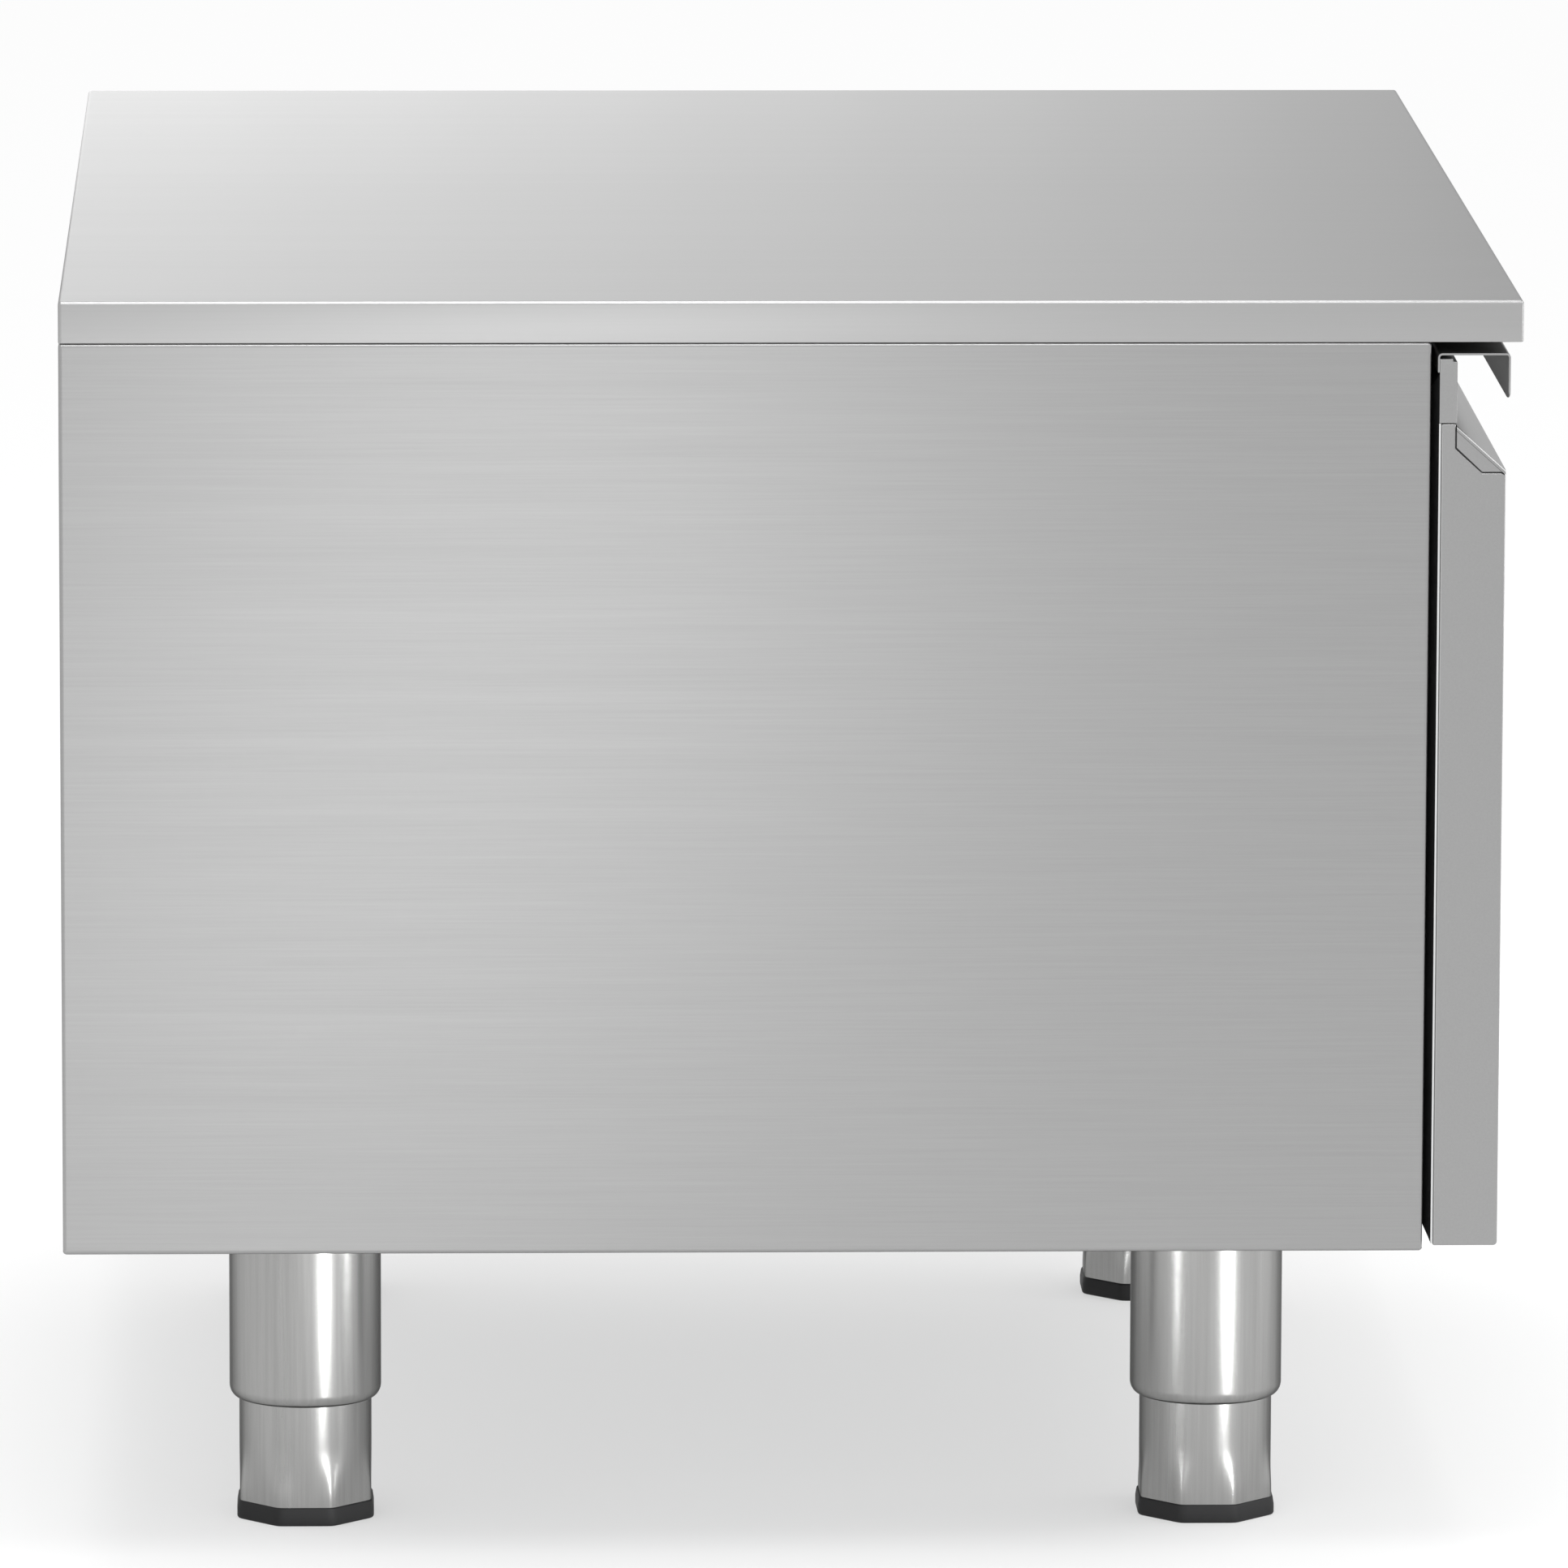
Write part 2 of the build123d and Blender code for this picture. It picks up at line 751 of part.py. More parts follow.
def filter_drier():
    y0 = cond_y0 + cond_depth / 2 + header / 2
    z = header_z(False)
    body = rod(3.0, 112, lane_x, y0, z, "Y")
    can = rod(10.5, 90, lane_x, y0 + 11, z, "Y")
    return body + fillet(can.edges(), 4)


def capillary_tube():
    y0 = cond_y0 + cond_depth / 2 + header / 2 + 112
    z0 = header_z(False)
    y1 = comp_place()[1] + 100
    end = evap_x() + evap_coil_width / 2 + port_reach
    points = [(lane_x, y0, z0), (lane_x, y1, z0), (lane_x, y1, feed_z()),
              (lane_x, coil_y(), feed_z()), (end, coil_y(), feed_z())]
    return pipe(points, capillary_radius, 12)


# Machine bay panel and controls

def control_place():
    return (bay_left + bay_right) / 2, flange_top - control_drop


def front_grille():
    panel = block(bay_left, bay_right, door_front, body_front, door_bottom, flange_top)
    face = panel.edges().group_by(Axis.Y)[0]
    t = base_sheet
    inner = block(bay_left + t, bay_right - t, door_front + t, body_front + 5, door_bottom + t,
                  flange_top - t)
    panel = fillet(face, bend) - inner
    x, z = control_place()
    cuts = [block(x - control_width / 2, x + control_width / 2, door_front - 5, door_front + 5,
                  z - control_height / 2, z + control_height / 2)]
    first = door_bottom + 40
    last = z - control_height / 2 - 40
    for n in range(int((last - first) // 16) + 1):
        low = first + 16 * n
        cuts.append(block(bay_left + 30, bay_right - 30, door_front - 5, door_front + 5, low, low + 7))
    for sx, sz in screw_places():
        cuts.append(rod(2.2, 10, sx, door_front - 5, sz, "Y"))
    return panel - cuts


def button_x(n):
    return control_place()[0] + 8 + n * button_pitch


def controller_body():
    x, z = control_place()
    bezel = block(x - control_width / 2 - bezel_rim, x + control_width / 2 + bezel_rim,
                  door_front - bezel_thick, door_front, z - control_height / 2 - bezel_rim,
                  z + control_height / 2 + bezel_rim)
    bezel = fillet(bezel.edges().filter_by(Axis.Y), 3)
    fit = loose / 2
    body = block(x - control_width / 2 + fit, x + control_width / 2 - fit, door_front,
                 door_front + control_depth, z - control_height / 2 + fit,
                 z + control_height / 2 - fit)
    whole = bezel + body
    whole -= block(x - 30, x + 1, door_front - bezel_thick - 1, door_front - bezel_thick + 1.5,
                   z - 10, z + 10)
    for n in range(3):
        bore = button_length + button_travel + loose
        start = door_front - bezel_thick - button_proud
        whole -= rod(button_radius + loose, bore, button_x(n), start, z, "Y")
    return whole


def controller_display():
    x, z = control_place()
    y = door_front - bezel_thick
    return block(x - 30, x + 1, y, y + 1.5, z - 10, z + 10)


def button(n):
    z = control_place()[1]
    y = door_front - bezel_thick - button_proud
    cap = rod(button_radius, button_length, button_x(n), y, z, "Y")
    return fillet(cap.edges().group_by(Axis.Y)[0], 0.6)


def power_inlet():
    # Recessed appliance inlet with three pins, seated from inside the rear panel.
    x, z = inlet_place()
    fit = loose / 2
    body = block(x - 14 + fit, x + 14 - fit, wall_y - 26, rear - sheet, z - 12 + fit, z + 12 - fit)
    body += block(x - 24, x + 24, wall_y - 3, wall_y, z - 15, z + 15)
    body -= block(x - 12, x + 12, wall_y - 14, rear, z - 8.5, z + 8.5)
    for dx, dz in ((-7, -2), (0, 2), (7, -2)):
        body += block(x + dx - 1, x + dx + 1, wall_y - 15, wall_y - 7, z + dz - 2, z + dz + 2)
    return body


def panel_screws():
    screws = []
    for x, z in screw_places():
        head = rod(4.5, 2.2, x, door_front - 2.2, z, "Y")
        head = fillet(head.edges().group_by(Axis.Y)[0], 1.0)
        screws.append(head + rod(2.0, body_front - door_front + 8, x, door_front, z, "Y"))
    for x, y, z in bracket_screws(body_top - bracket_thick):
        screws.append(rod(3.5, 1.5, x, y, z - 1.5) + rod(1.9, bracket_thick + 9, x, y, z))
    for x, y, z in bracket_screws(base_z - bracket_thick):
        screws.append(rod(3.5, 1.5, x, y, z - 1.5) + rod(1.9, bracket_thick + 9, x, y, z))
    return fuse(screws)


# Hinges

def hinge_brackets():
    # A plate with a pin under the worktop, and one under the cabinet.
    x0 = hinge_x - bracket_left
    x1 = hinge_x + bracket_right
    y0 = door_front + 1
    top = block(x0, x1, y0, body_front - loose, body_top - bracket_thick, body_top)
    top = fillet(top.edges().filter_by(Axis.Z), 4)
    top += rod(pin_radius, worktop_gap + pin_length - bracket_thick, hinge_x, hinge_y,
               flange_top - pin_length)
    low = block(x0, x1, y0, body_front + bracket_tail, base_z - bracket_thick, base_z)
    low = fillet(low.edges().filter_by(Axis.Z), 4)
    low += rod(pin_radius, door_lift + pin_length, hinge_x, hinge_y, base_z)
    for x, y, z in bracket_screws(body_top - bracket_thick):
        top -= rod(2.0, 10, x, y, z - 5)
    for x, y, z in bracket_screws(base_z - bracket_thick):
        low -= rod(2.0, 10, x, y, z - 5)
    return top + low


def bush_hole(top):
    # Seat of a bush, with room for the tip of its pin.
    deep = pin_length + 2
    z = flange_top - deep if top else door_bottom
    return rod(bush_radius + running, deep, hinge_x, hinge_y, z)


def door_bushings():
    upper = rod(bush_radius, bush_length, hinge_x, hinge_y, flange_top - bush_length)
    upper += rod(bush_flange, bush_flange_thick, hinge_x, hinge_y, flange_top)
    lower = rod(bush_radius, bush_length, hinge_x, hinge_y, door_bottom)
    lower += rod(bush_flange, bush_flange_thick, hinge_x, hinge_y, door_bottom - bush_flange_thick)
    pin = pin_radius + running
    upper -= rod(pin, bush_length + 10, hinge_x, hinge_y, flange_top - bush_length - 5)
    lower -= rod(pin, bush_length + 10, hinge_x, hinge_y, door_bottom - 5)
    return upper + lower


def door_hinge_blocks():
    # The upper block fills the recess at the hinge; the lower one lies in the pan.
    u = door_thick
    points = [(door_y(0), rail_bottom), (door_y(rail_thick), rail_bottom),
              (door_y(rail_thick), slope_top), (door_y(u), slope_z(u)),
              (door_y(u), flange_top), (door_y(0), flange_top)]
    upper = prism(points, block_left, door_right)
    corner = upper.edges().filter_by(Axis.Z).group_by(Axis.X)[-1].group_by(Axis.Y)[0]
    upper = fillet(corner, bend)
    t = sheet
    lower = block(block_left, door_right - t, door_y(u - t), door_y(t), door_bottom + t,
                  door_bottom + foot_block_height)
    return (upper - bush_hole(True)) + (lower - bush_hole(False))


# Door

def plug_outline():
    # Section of the end plug, under the sloping rail.
    top = slope_z(rail_thick) - slope_skin
    low = top - plug_height - plug_fall
    fall = slope_drop / (door_thick - rail_thick)
    reach = rail_thick + (top - low) / fall
    return [(door_y(rail_thick), top), (door_y(rail_thick), top - plug_height),
            (door_y(rail_thick + plug_run), low), (door_y(reach), low)]


def door_pan():
    plug = plug_outline()
    u = door_thick
    t = sheet
    points = [(door_y(0), door_bottom), (door_y(u), door_bottom),
              (door_y(u), slope_z(u) - slope_skin), plug[3], plug[2], plug[1],
              (door_y(rail_thick), rail_bottom), (door_y(0), rail_bottom)]
    pan = prism(points, door_left, door_right)
    face = pan.edges().group_by(Axis.Y)[0]
    face = face.filter_by(Axis.Z) + face.sort_by(Axis.Z)[:1]
    pan = fillet(face, bend)
    pan -= block(door_left + t, door_right - t, door_y(u - t), door_y(-5), door_bottom + t,
                 rail_bottom + 5)
    return pan - bush_hole(False)


def door_inner_panel():
    t = sheet
    return block(door_left + t, door_right - t, door_y(t), door_y(0), door_bottom + t, rail_bottom)


def door_foam():
    u = door_thick
    t = sheet
    under = slope_z(rail_thick) - slope_skin
    points = [(door_y(t), door_bottom + t), (door_y(u - t), door_bottom + t),
              (door_y(u - t), slope_z(u - t) - slope_skin), (door_y(rail_thick), under),
              (door_y(rail_thick), rail_bottom), (door_y(t), rail_bottom)]
    foam = prism(points, door_left + t, door_right - t)
    foam += block(door_left + rail_wall, block_left - rail_wall, door_y(rail_thick - rail_wall),
                  door_y(rail_wall), rail_bottom - 1, rail_top - rail_wall)
    foam -= block(block_left, door_right, door_y(u), door_y(0), door_bottom,
                  door_bottom + foot_block_height)
    outline = plug_outline()
    ends = [(door_left, door_left + plug_length), (door_right - plug_length, door_right)]
    return foam - [prism(outline, a, b) for a, b in ends]


def door_upper_rail():
    # A folded cover over the thin top of the foam.
    w = rail_wall
    rail = block(door_left, block_left, door_y(rail_thick), door_y(0), rail_bottom, rail_top)
    return rail - block(door_left + w, block_left - w, door_y(rail_thick - w), door_y(w),
                        rail_bottom - 5, rail_top - w)


def door_slope_rail():
    u = door_thick
    points = [(door_y(rail_thick), slope_top), (door_y(rail_thick), slope_top - slope_skin),
              (door_y(u), slope_z(u) - slope_skin), (door_y(u), slope_z(u))]
    return prism(points, door_left, door_right)


def door_end_caps():
    outline = plug_outline()
    cap = prism(outline, door_left, door_left + plug_length)
    other = prism(outline, door_right - plug_length, door_right)
    return cap + other


def door_handle_channel():
    # One folded sheet: a leg behind the rail, the flange above it and the lip in front.
    rear_y = door_y(0)
    lip_y = door_front - lip_lead
    points = [(rear_y, flange_top - channel_leg), (rear_y, flange_top - sheet),
              (lip_y + sheet, flange_top - sheet), (lip_y + sheet, flange_top - lip_drop)]
    path = FilletPolyline(*points, radius=0.8)
    section = offset(path, amount=sheet, side=Side.RIGHT, closed=True)
    return extrude(Plane.YZ.offset(door_left) * make_face(section), block_left - door_left)


def door_gasket():
    # A loop whose outer side slants away from the door towards the cabinet.
    x0 = door_left + gasket_edge
    x1 = door_right - gasket_edge
    z0 = door_bottom + gasket_edge
    z1 = flange_top - channel_leg - gasket_edge
    thick = seal_gap - loose
    middle = ((x0 + x1) / 2, (z0 + z1) / 2)
    base = Plane(origin=(middle[0], door_rear, middle[1]), x_dir=(1, 0, 0), z_dir=(0, 1, 0))
    wide = base * Rectangle(x1 - x0, z1 - z0)
    slim = base.offset(thick) * Rectangle(x1 - x0 - 2 * gasket_slant, z1 - z0 - 2 * gasket_slant)
    ring = loft([wide, slim])
    inner = gasket_inner
    return ring - block(door_left + inner, door_right - inner, door_rear - 5, body_front,
                        door_bottom + inner, z1 + gasket_edge - inner)


# Legs

sleeve_mouth = base_z - sleeve_drop
hub_z = sleeve_mouth + leg_reach + level_travel + hub_clear


def leg_sleeves():
    # Outer tubes with a rolled lip at the mouth and a threaded hub inside.
    r = sleeve_radius
    w = sleeve_wall
    lip = leg_radius + leg_clear
    z0 = sleeve_mouth
    outline = Polyline((r, z0 + sleeve_roll), (r, base_z), (0, base_z), (0, base_z - sleeve_top),
                       (r - w, base_z - sleeve_top), (r - w, z0 + sleeve_roll + w),
                       (lip, z0 + w), (lip, z0))
    nose = RadiusArc((lip, z0), (r, z0 + sleeve_roll), -sleeve_roll * 1.05)
    face = Plane.XZ * make_face([outline, nose])
    sleeve = revolve(face, Axis.Z)
    sleeve += rod(r - w + 0.2, hub_thick, 0, 0, hub_z)
    sleeve -= rod(stem_radius + loose, hub_thick + 10, 0, 0, hub_z - 5)
    sleeve -= rod(6.3, 20, 0, 0, base_z - 10)
    return fuse([Pos(x, y, 0) * sleeve for x, y in leg_places.values()])


def leg_bolts():
    bolts = []
    for x, y in leg_places.values():
        bolt = rod(6.0, sleeve_top + base_sheet + 8, x, y, base_z - sleeve_top)
        head = rod(10.0, bolt_head, x, y, base_z - sleeve_top - bolt_head)
        nut = extrude(Plane.XY * RegularPolygon(9.5, 6, major_radius=False), 7)
        bolts.append(bolt + [head, Pos(x, y, floor_z) * nut])
    return fuse(bolts)


def lower_leg(name):
    # Round above, flaring into an octagon at the foot, with a threaded stem on top.
    x, y = leg_places[name]
    corner = foot_flat / math.cos(math.pi / 8) + 0.1
    flare_top = cap_height + flare_height
    leg_top = sleeve_mouth + leg_reach
    r = leg_radius
    body = spin([(0, cap_height), (corner, cap_height), (corner, cap_height + 3),
                 (r, flare_top), (0, flare_top)], 0, 0)
    octagon = RegularPolygon(foot_flat, 8, major_radius=False)
    facets = Rot(0, 0, 22.5) * octagon
    body &= extrude(Plane.XY.offset(cap_height) * facets, flare_height)
    body += rod(r, leg_top - flare_top, 0, 0, flare_top)
    body -= rod(r - leg_wall, leg_top, 0, 0, cap_height + 5)
    stem_top = hub_z + hub_thick + stem_proud
    body += rod(stem_radius, stem_top - cap_height - 4, 0, 0, cap_height + 4)
    return Pos(x, y, 0) * body


def foot_cap(name):
    x, y = leg_places[name]
    facets = Rot(0, 0, 22.5) * RegularPolygon(cap_flat, 8, major_radius=False)
    cap = extrude(facets, cap_height)
    cap = chamfer(cap.edges().group_by(Axis.Z)[0], 1.0)
    return Pos(x, y, 0) * cap


nodes = {
    "worktop_skin": worktop_skin(),
    "worktop_core": worktop_core(),
    "left_side_panel": side_panel(-1),
    "right_side_panel": side_panel(1),
    "rear_panel": rear_panel(),
    "base_panel": base_panel(),
    "divider_panel": divider_panel(),
    "cabinet_foam": cabinet_foam(),
    "inner_liner": inner_liner(),
    "front_frame": front_frame(),
    "shelf_pilasters": shelf_pilasters(),
    "shelf_clips": shelf_clips(),
    "wire_shelf": wire_shelf(),
    "evaporator_coil": evaporator_coil(),
    "evaporator_cover": evaporator_cover(),
    "evaporator_fan_motor": evaporator_fan_motor(),
    "evaporator_fan_blade": evaporator_fan_blade(),
    "drip_tray": drip_tray(),
    "drain_tube": drain_tube(),
    "compressor_shell": compressor_shell(),
    "compressor_mounts": compressor_mounts(),
    "relay_box": relay_box(),
    "condenser_coil": condenser_coil(),
    "condenser_shroud": condenser_shroud(),
    "condenser_fan_motor": condenser_fan_motor(),
    "condenser_fan_blade": condenser_fan_blade(),
    "filter_drier": filter_drier(),
    "discharge_pipe": discharge_pipe(),
    "capillary_tube": capillary_tube(),
    "suction_pipe": suction_pipe(),
    "condensate_pan": condensate_pan(),
    "front_grille": front_grille(),
    "controller_body": controller_body(),
    "controller_display": controller_display(),
    "button_set": button(0),
    "button_down": button(1),
    "button_up": button(2),
    "power_inlet": power_inlet(),
    "panel_screws": panel_screws(),
    "hinge_brackets": hinge_brackets(),
    "leg_sleeves": leg_sleeves(),
    "leg_bolts": leg_bolts(),
    "door_pan": door_pan(),
    "door_foam": door_foam(),
    "door_inner_panel": door_inner_panel(),
    "door_gasket": door_gasket(),
    "door_upper_rail": door_upper_rail(),
    "door_slope_rail": door_slope_rail(),
    "door_handle_channel": door_handle_channel(),
    "door_end_caps": door_end_caps(),
    "door_hinge_blocks": door_hinge_blocks(),
    "door_bushings": door_bushings(),
}
for place in leg_places:
    nodes["lower_leg_" + place] = lower_leg(place)
    nodes["foot_cap_" + place] = foot_cap(place)

os.makedirs("parts", exist_ok=True)
for name, shape in nodes.items():
    export_step(shape, f"parts/{name}.step")
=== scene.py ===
import bpy
import json
import math
import numpy as np
from mathutils import Matrix, Vector

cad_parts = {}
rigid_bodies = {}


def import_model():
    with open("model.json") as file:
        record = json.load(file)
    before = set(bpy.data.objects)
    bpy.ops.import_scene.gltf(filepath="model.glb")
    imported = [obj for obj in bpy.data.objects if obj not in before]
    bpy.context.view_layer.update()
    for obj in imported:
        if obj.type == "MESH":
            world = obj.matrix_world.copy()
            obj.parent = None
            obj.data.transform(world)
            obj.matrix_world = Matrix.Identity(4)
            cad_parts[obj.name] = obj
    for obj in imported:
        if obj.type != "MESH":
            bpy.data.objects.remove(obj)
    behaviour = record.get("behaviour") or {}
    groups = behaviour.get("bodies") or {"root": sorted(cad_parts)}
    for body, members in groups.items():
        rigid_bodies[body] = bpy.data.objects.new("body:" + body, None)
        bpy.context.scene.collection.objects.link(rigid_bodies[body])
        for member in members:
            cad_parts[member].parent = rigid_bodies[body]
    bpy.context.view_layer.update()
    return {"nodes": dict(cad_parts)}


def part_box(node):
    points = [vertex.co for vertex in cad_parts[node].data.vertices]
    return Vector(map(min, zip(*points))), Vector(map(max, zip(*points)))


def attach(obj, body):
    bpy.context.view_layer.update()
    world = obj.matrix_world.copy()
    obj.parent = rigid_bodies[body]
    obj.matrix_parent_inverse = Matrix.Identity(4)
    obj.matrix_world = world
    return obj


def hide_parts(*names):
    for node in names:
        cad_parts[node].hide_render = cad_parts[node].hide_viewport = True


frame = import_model()
nodes = frame["nodes"]
mm = 0.001
quarter = math.pi / 2
# edges sharper than this shade as creases, and take a piece's bevel
sharpAngle = math.radians(32)
print("frame loaded:", len(nodes), "nodes")


def toLinear(hexColour):
    # sRGB hex to linear RGBA
    parts = [int(hexColour[i:i + 2], 16) / 255 for i in (1, 3, 5)]
    return [c / 12.92 if c <= 0.04045 else ((c + 0.055) / 1.055) ** 2.4 for c in parts] + [1.0]


def addNode(tree, kind, settings=None, inputs=None):
    # inputs are numbers, colours, or (node, output) pairs
    node = tree.nodes.new(kind)
    for key, value in (settings or {}).items():
        setattr(node, key, value)
    for key, value in (inputs or {}).items():
        if isinstance(value, tuple) and isinstance(value[0], bpy.types.Node):
            tree.links.new(value[0].outputs[value[1]], node.inputs[key])
        else:
            node.inputs[key].default_value = value
    return node


def newMaterial(name):
    material = bpy.data.materials.new(name)
    material.use_nodes = True
    tree = material.node_tree
    tree.nodes.clear()
    return material, tree


def finishMaterial(tree, shader):
    addNode(tree, "ShaderNodeOutputMaterial", None, {"Surface": (shader, 0)})


def toneBetween(tree, noise, settings):
    # The noise's middle range carries the colour from dark to light.
    tone = addNode(tree, "ShaderNodeValToRGB", None, {"Fac": (noise, 0)})
    stops = [(0.3, settings["dark"]), (0.7, settings["light"])]
    for element, (place, colour) in zip(tone.color_ramp.elements, stops):
        element.position = place
        element.color = toLinear(colour)
    return tone


def glossAround(tree, noise, roughness, vary):
    # The same range carries the roughness from a little glossier to a little duller.
    return addNode(tree, "ShaderNodeMapRange", None,
                   {"Value": (noise, 0), "From Min": 0.3, "From Max": 0.7,
                    "To Min": roughness - vary, "To Max": roughness + vary})


def brushedSteel(name, settings, stretch):
    # Sheet steel with a ground finish: long scratches one way, so the gloss is soft.
    # Real scratches are about 0.2 mm apart, drawn at about 1 mm so that they show;
    # the broad noise is a slow change of gloss from the rolls, some 8 times as wide.
    material, tree = newMaterial(name)
    place = addNode(tree, "ShaderNodeTexCoord")
    along = addNode(tree, "ShaderNodeMapping", None, {"Vector": (place, "Object"), "Scale": stretch})
    fine = addNode(tree, "ShaderNodeTexNoise", None,
                   {"Vector": (along, 0), "Scale": 1.0, "Detail": 6.0, "Roughness": 0.65})
    broad = addNode(tree, "ShaderNodeTexNoise", None,
                    {"Vector": (along, 0), "Scale": 0.13, "Detail": 3.0, "Roughness": 0.5})
    tone = toneBetween(tree, fine, settings)
    gloss = glossAround(tree, broad, settings["roughness"], settings["vary"])
    bump = addNode(tree, "ShaderNodeBump", None,
                   {"Strength": settings["bump"], "Distance": 0.05 * mm, "Height": (fine, 0)})
    edgeTone = settings["edgeTone"]
    shader = addNode(tree, "ShaderNodeBsdfPrincipled", None,
                     {"Base Color": (tone, 0), "Metallic": 1.0, "Roughness": (gloss, 0),
                      "Specular Tint": (edgeTone, edgeTone, edgeTone, 1.0), "Normal": (bump, 0)})
    finishMaterial(tree, shader)
    return material


def grainyMaterial(name, settings):
    # One colour with a fine mottle, and grain in roughness and bump.
    material, tree = newMaterial(name)
    place = addNode(tree, "ShaderNodeTexCoord")
    grain = addNode(tree, "ShaderNodeTexNoise", None,
                    {"Vector": (place, "Object"), "Scale": settings["scale"], "Detail": 5.0})
    tone = toneBetween(tree, grain, settings)
    gloss = glossAround(tree, grain, settings["roughness"], 0.05)
    bump = addNode(tree, "ShaderNodeBump", None,
                   {"Strength": settings["bump"], "Distance": 0.1 * mm, "Height": (grain, 0)})
    look = {"Base Color": (tone, 0), "Roughness": (gloss, 0), "Normal": (bump, 0)}
    if settings.get("metal"):
        look["Metallic"] = 1.0
    else:
        look["IOR"] = settings.get("ior", 1.5)
    finishMaterial(tree, addNode(tree, "ShaderNodeBsdfPrincipled", None, look))
    return material


# edgeTone is how far the alloy's reflection dips near grazing angles, and vary how far its
# roughness wanders
sheetSteel = {"dark": "#9C9C9C", "light": "#A1A1A1", "roughness": 0.40, "bump": 0.03,
              "edgeTone": 0.8, "vary": 0.012}
topSteel = {"dark": "#A9A9A9", "light": "#ABABAB", "roughness": 0.42, "bump": 0.0,
            "edgeTone": 0.45, "vary": 0.01}
tubeSteel = {"dark": "#979796", "light": "#A1A1A0", "roughness": 0.26, "bump": 0.01,
             "edgeTone": 0.25, "vary": 0.02}
linerSteel = {"dark": "#D5D6D6", "light": "#D8D9D9", "roughness": 0.48, "bump": 0.0,
              "edgeTone": 0.95, "vary": 0.0}

# noise repeats per metre on each axis: 900 is a line each 1.1 mm, and 9 makes it 110 mm long
alongY = (900.0, 9.0, 900.0)
alongX = (9.0, 900.0, 900.0)
# the liner's faint lines are 4 mm apart and 170 mm long, the tube's 2.4 mm and 100 mm
alongWall = (6.0, 260.0, 260.0)
downZ = (420.0, 420.0, 10.0)

steelFinishes = {
    # belt ground along the panel's depth: a soft sheen drawn out across the lines
    "brushedAlongDepth": (sheetSteel, alongY),
    # the same sheet cut the other way, for the front
    "brushedAlongWidth": (sheetSteel, alongX),
    # ground finer and then buffed: even, with barely a line left
    "polishedTop": (topSteel, alongY),
    # drawn tube: glossier, with one sharp streak down its length
    "turnedTube": (tubeSteel, downZ),
    # bright cold-rolled liner: pale and even, lit by its own walls
    "linerSheet": (linerSteel, alongWall),
}

# scale is noise repeats per metre, so a grain is 1000 / scale mm across
grainyFinishes = {
    # zinc frozen on the sheet in flat crystals some 14 mm across: a patchy dull silver
    "galvanisedSheet": {"dark": "#A3A4A4", "light": "#AFB0B0", "scale": 70.0, "roughness": 0.42,
                        "bump": 0.03, "metal": True},
    # plated small parts: a fine warm silver, grain 2.5 mm
    "zincPlate": {"dark": "#B4B4AC", "light": "#C6C6C0", "scale": 400.0, "roughness": 0.34,
                  "bump": 0.05, "metal": True},
    # plated over drawn wire: nearly a mirror, its ripple about 3 mm
    "chromeWire": {"dark": "#CFD1D3", "light": "#DADCDD", "scale": 300.0, "roughness": 0.14,
                   "bump": 0.02, "metal": True},
    # rolled thin and left bare: bright and soft, marks 4 mm apart
    "millAluminium": {"dark": "#C9CACB", "light": "#DBDCDD", "scale": 250.0, "roughness": 0.38,
                      "bump": 0.05, "metal": True},
    # bent and brazed by hand: warm, with handling stains 8 mm across
    "bareCopper": {"dark": "#B06F4E", "light": "#D08E68", "scale": 120.0, "roughness": 0.30,
                   "bump": 0.04, "metal": True},
    # blown between the skins: matt, with 2 mm cells where it is cut
    "urethaneFoam": {"dark": "#8D8670", "light": "#9C957E", "scale": 500.0, "roughness": 0.85,
                     "bump": 0.4},
    # board darkened to stand for the shade under the worktop, which is painted shade: dull, with 6 mm
    # roller marks
    "paintedShadeBoard": {"dark": "#1B1A19", "light": "#262423", "scale": 160.0, "roughness": 0.7,
                    "bump": 0.2},
    # pressed in a blasted mould: black with a soft bloom, grain 1.7 mm
    "mouldedRubber": {"dark": "#0E0E0F", "light": "#171718", "scale": 600.0, "roughness": 0.62,
                      "bump": 0.15, "ior": 1.4},
    # extruded: smooth black with a low sheen, ripple about 3 mm
    "gasketVinyl": {"dark": "#111112", "light": "#1B1B1C", "scale": 300.0, "roughness": 0.48,
                    "bump": 0.08},
    # moulded against an etched tool, grain about 1 mm, which breaks up the highlight
    "blackPolymer": {"dark": "#1C1C1E", "light": "#272729", "scale": 900.0, "roughness": 0.5,
                     "bump": 0.2},
    # the same etch, in grey
    "greyPolymer": {"dark": "#8F9193", "light": "#9B9D9F", "scale": 900.0, "roughness": 0.45,
                    "bump": 0.12},
    # turned from unfilled bar: off-white and a little waxy, grain 2 mm
    "whiteNylon": {"dark": "#DAD9D3", "light": "#E8E7E2", "scale": 500.0, "roughness": 0.4,
                   "bump": 0.08},
    # the same etch as the black, a shade lighter so that the keys can be found
    "buttonPolymer": {"dark": "#4A4C50", "light": "#56585C", "scale": 900.0, "roughness": 0.45,
                      "bump": 0.15},
    # cast clear sheet, smoked: dark and glossy, with only a slow 20 mm change of tone
    "smokedWindow": {"dark": "#0A0606", "light": "#0E0808", "scale": 50.0, "roughness": 0.12,
                     "bump": 0.0},
    # baked enamel: glossy black with a faint orange peel of 4.5 mm
    "blackEnamel": {"dark": "#121213", "light": "#19191B", "scale": 220.0, "roughness": 0.28,
                    "bump": 0.06},
}

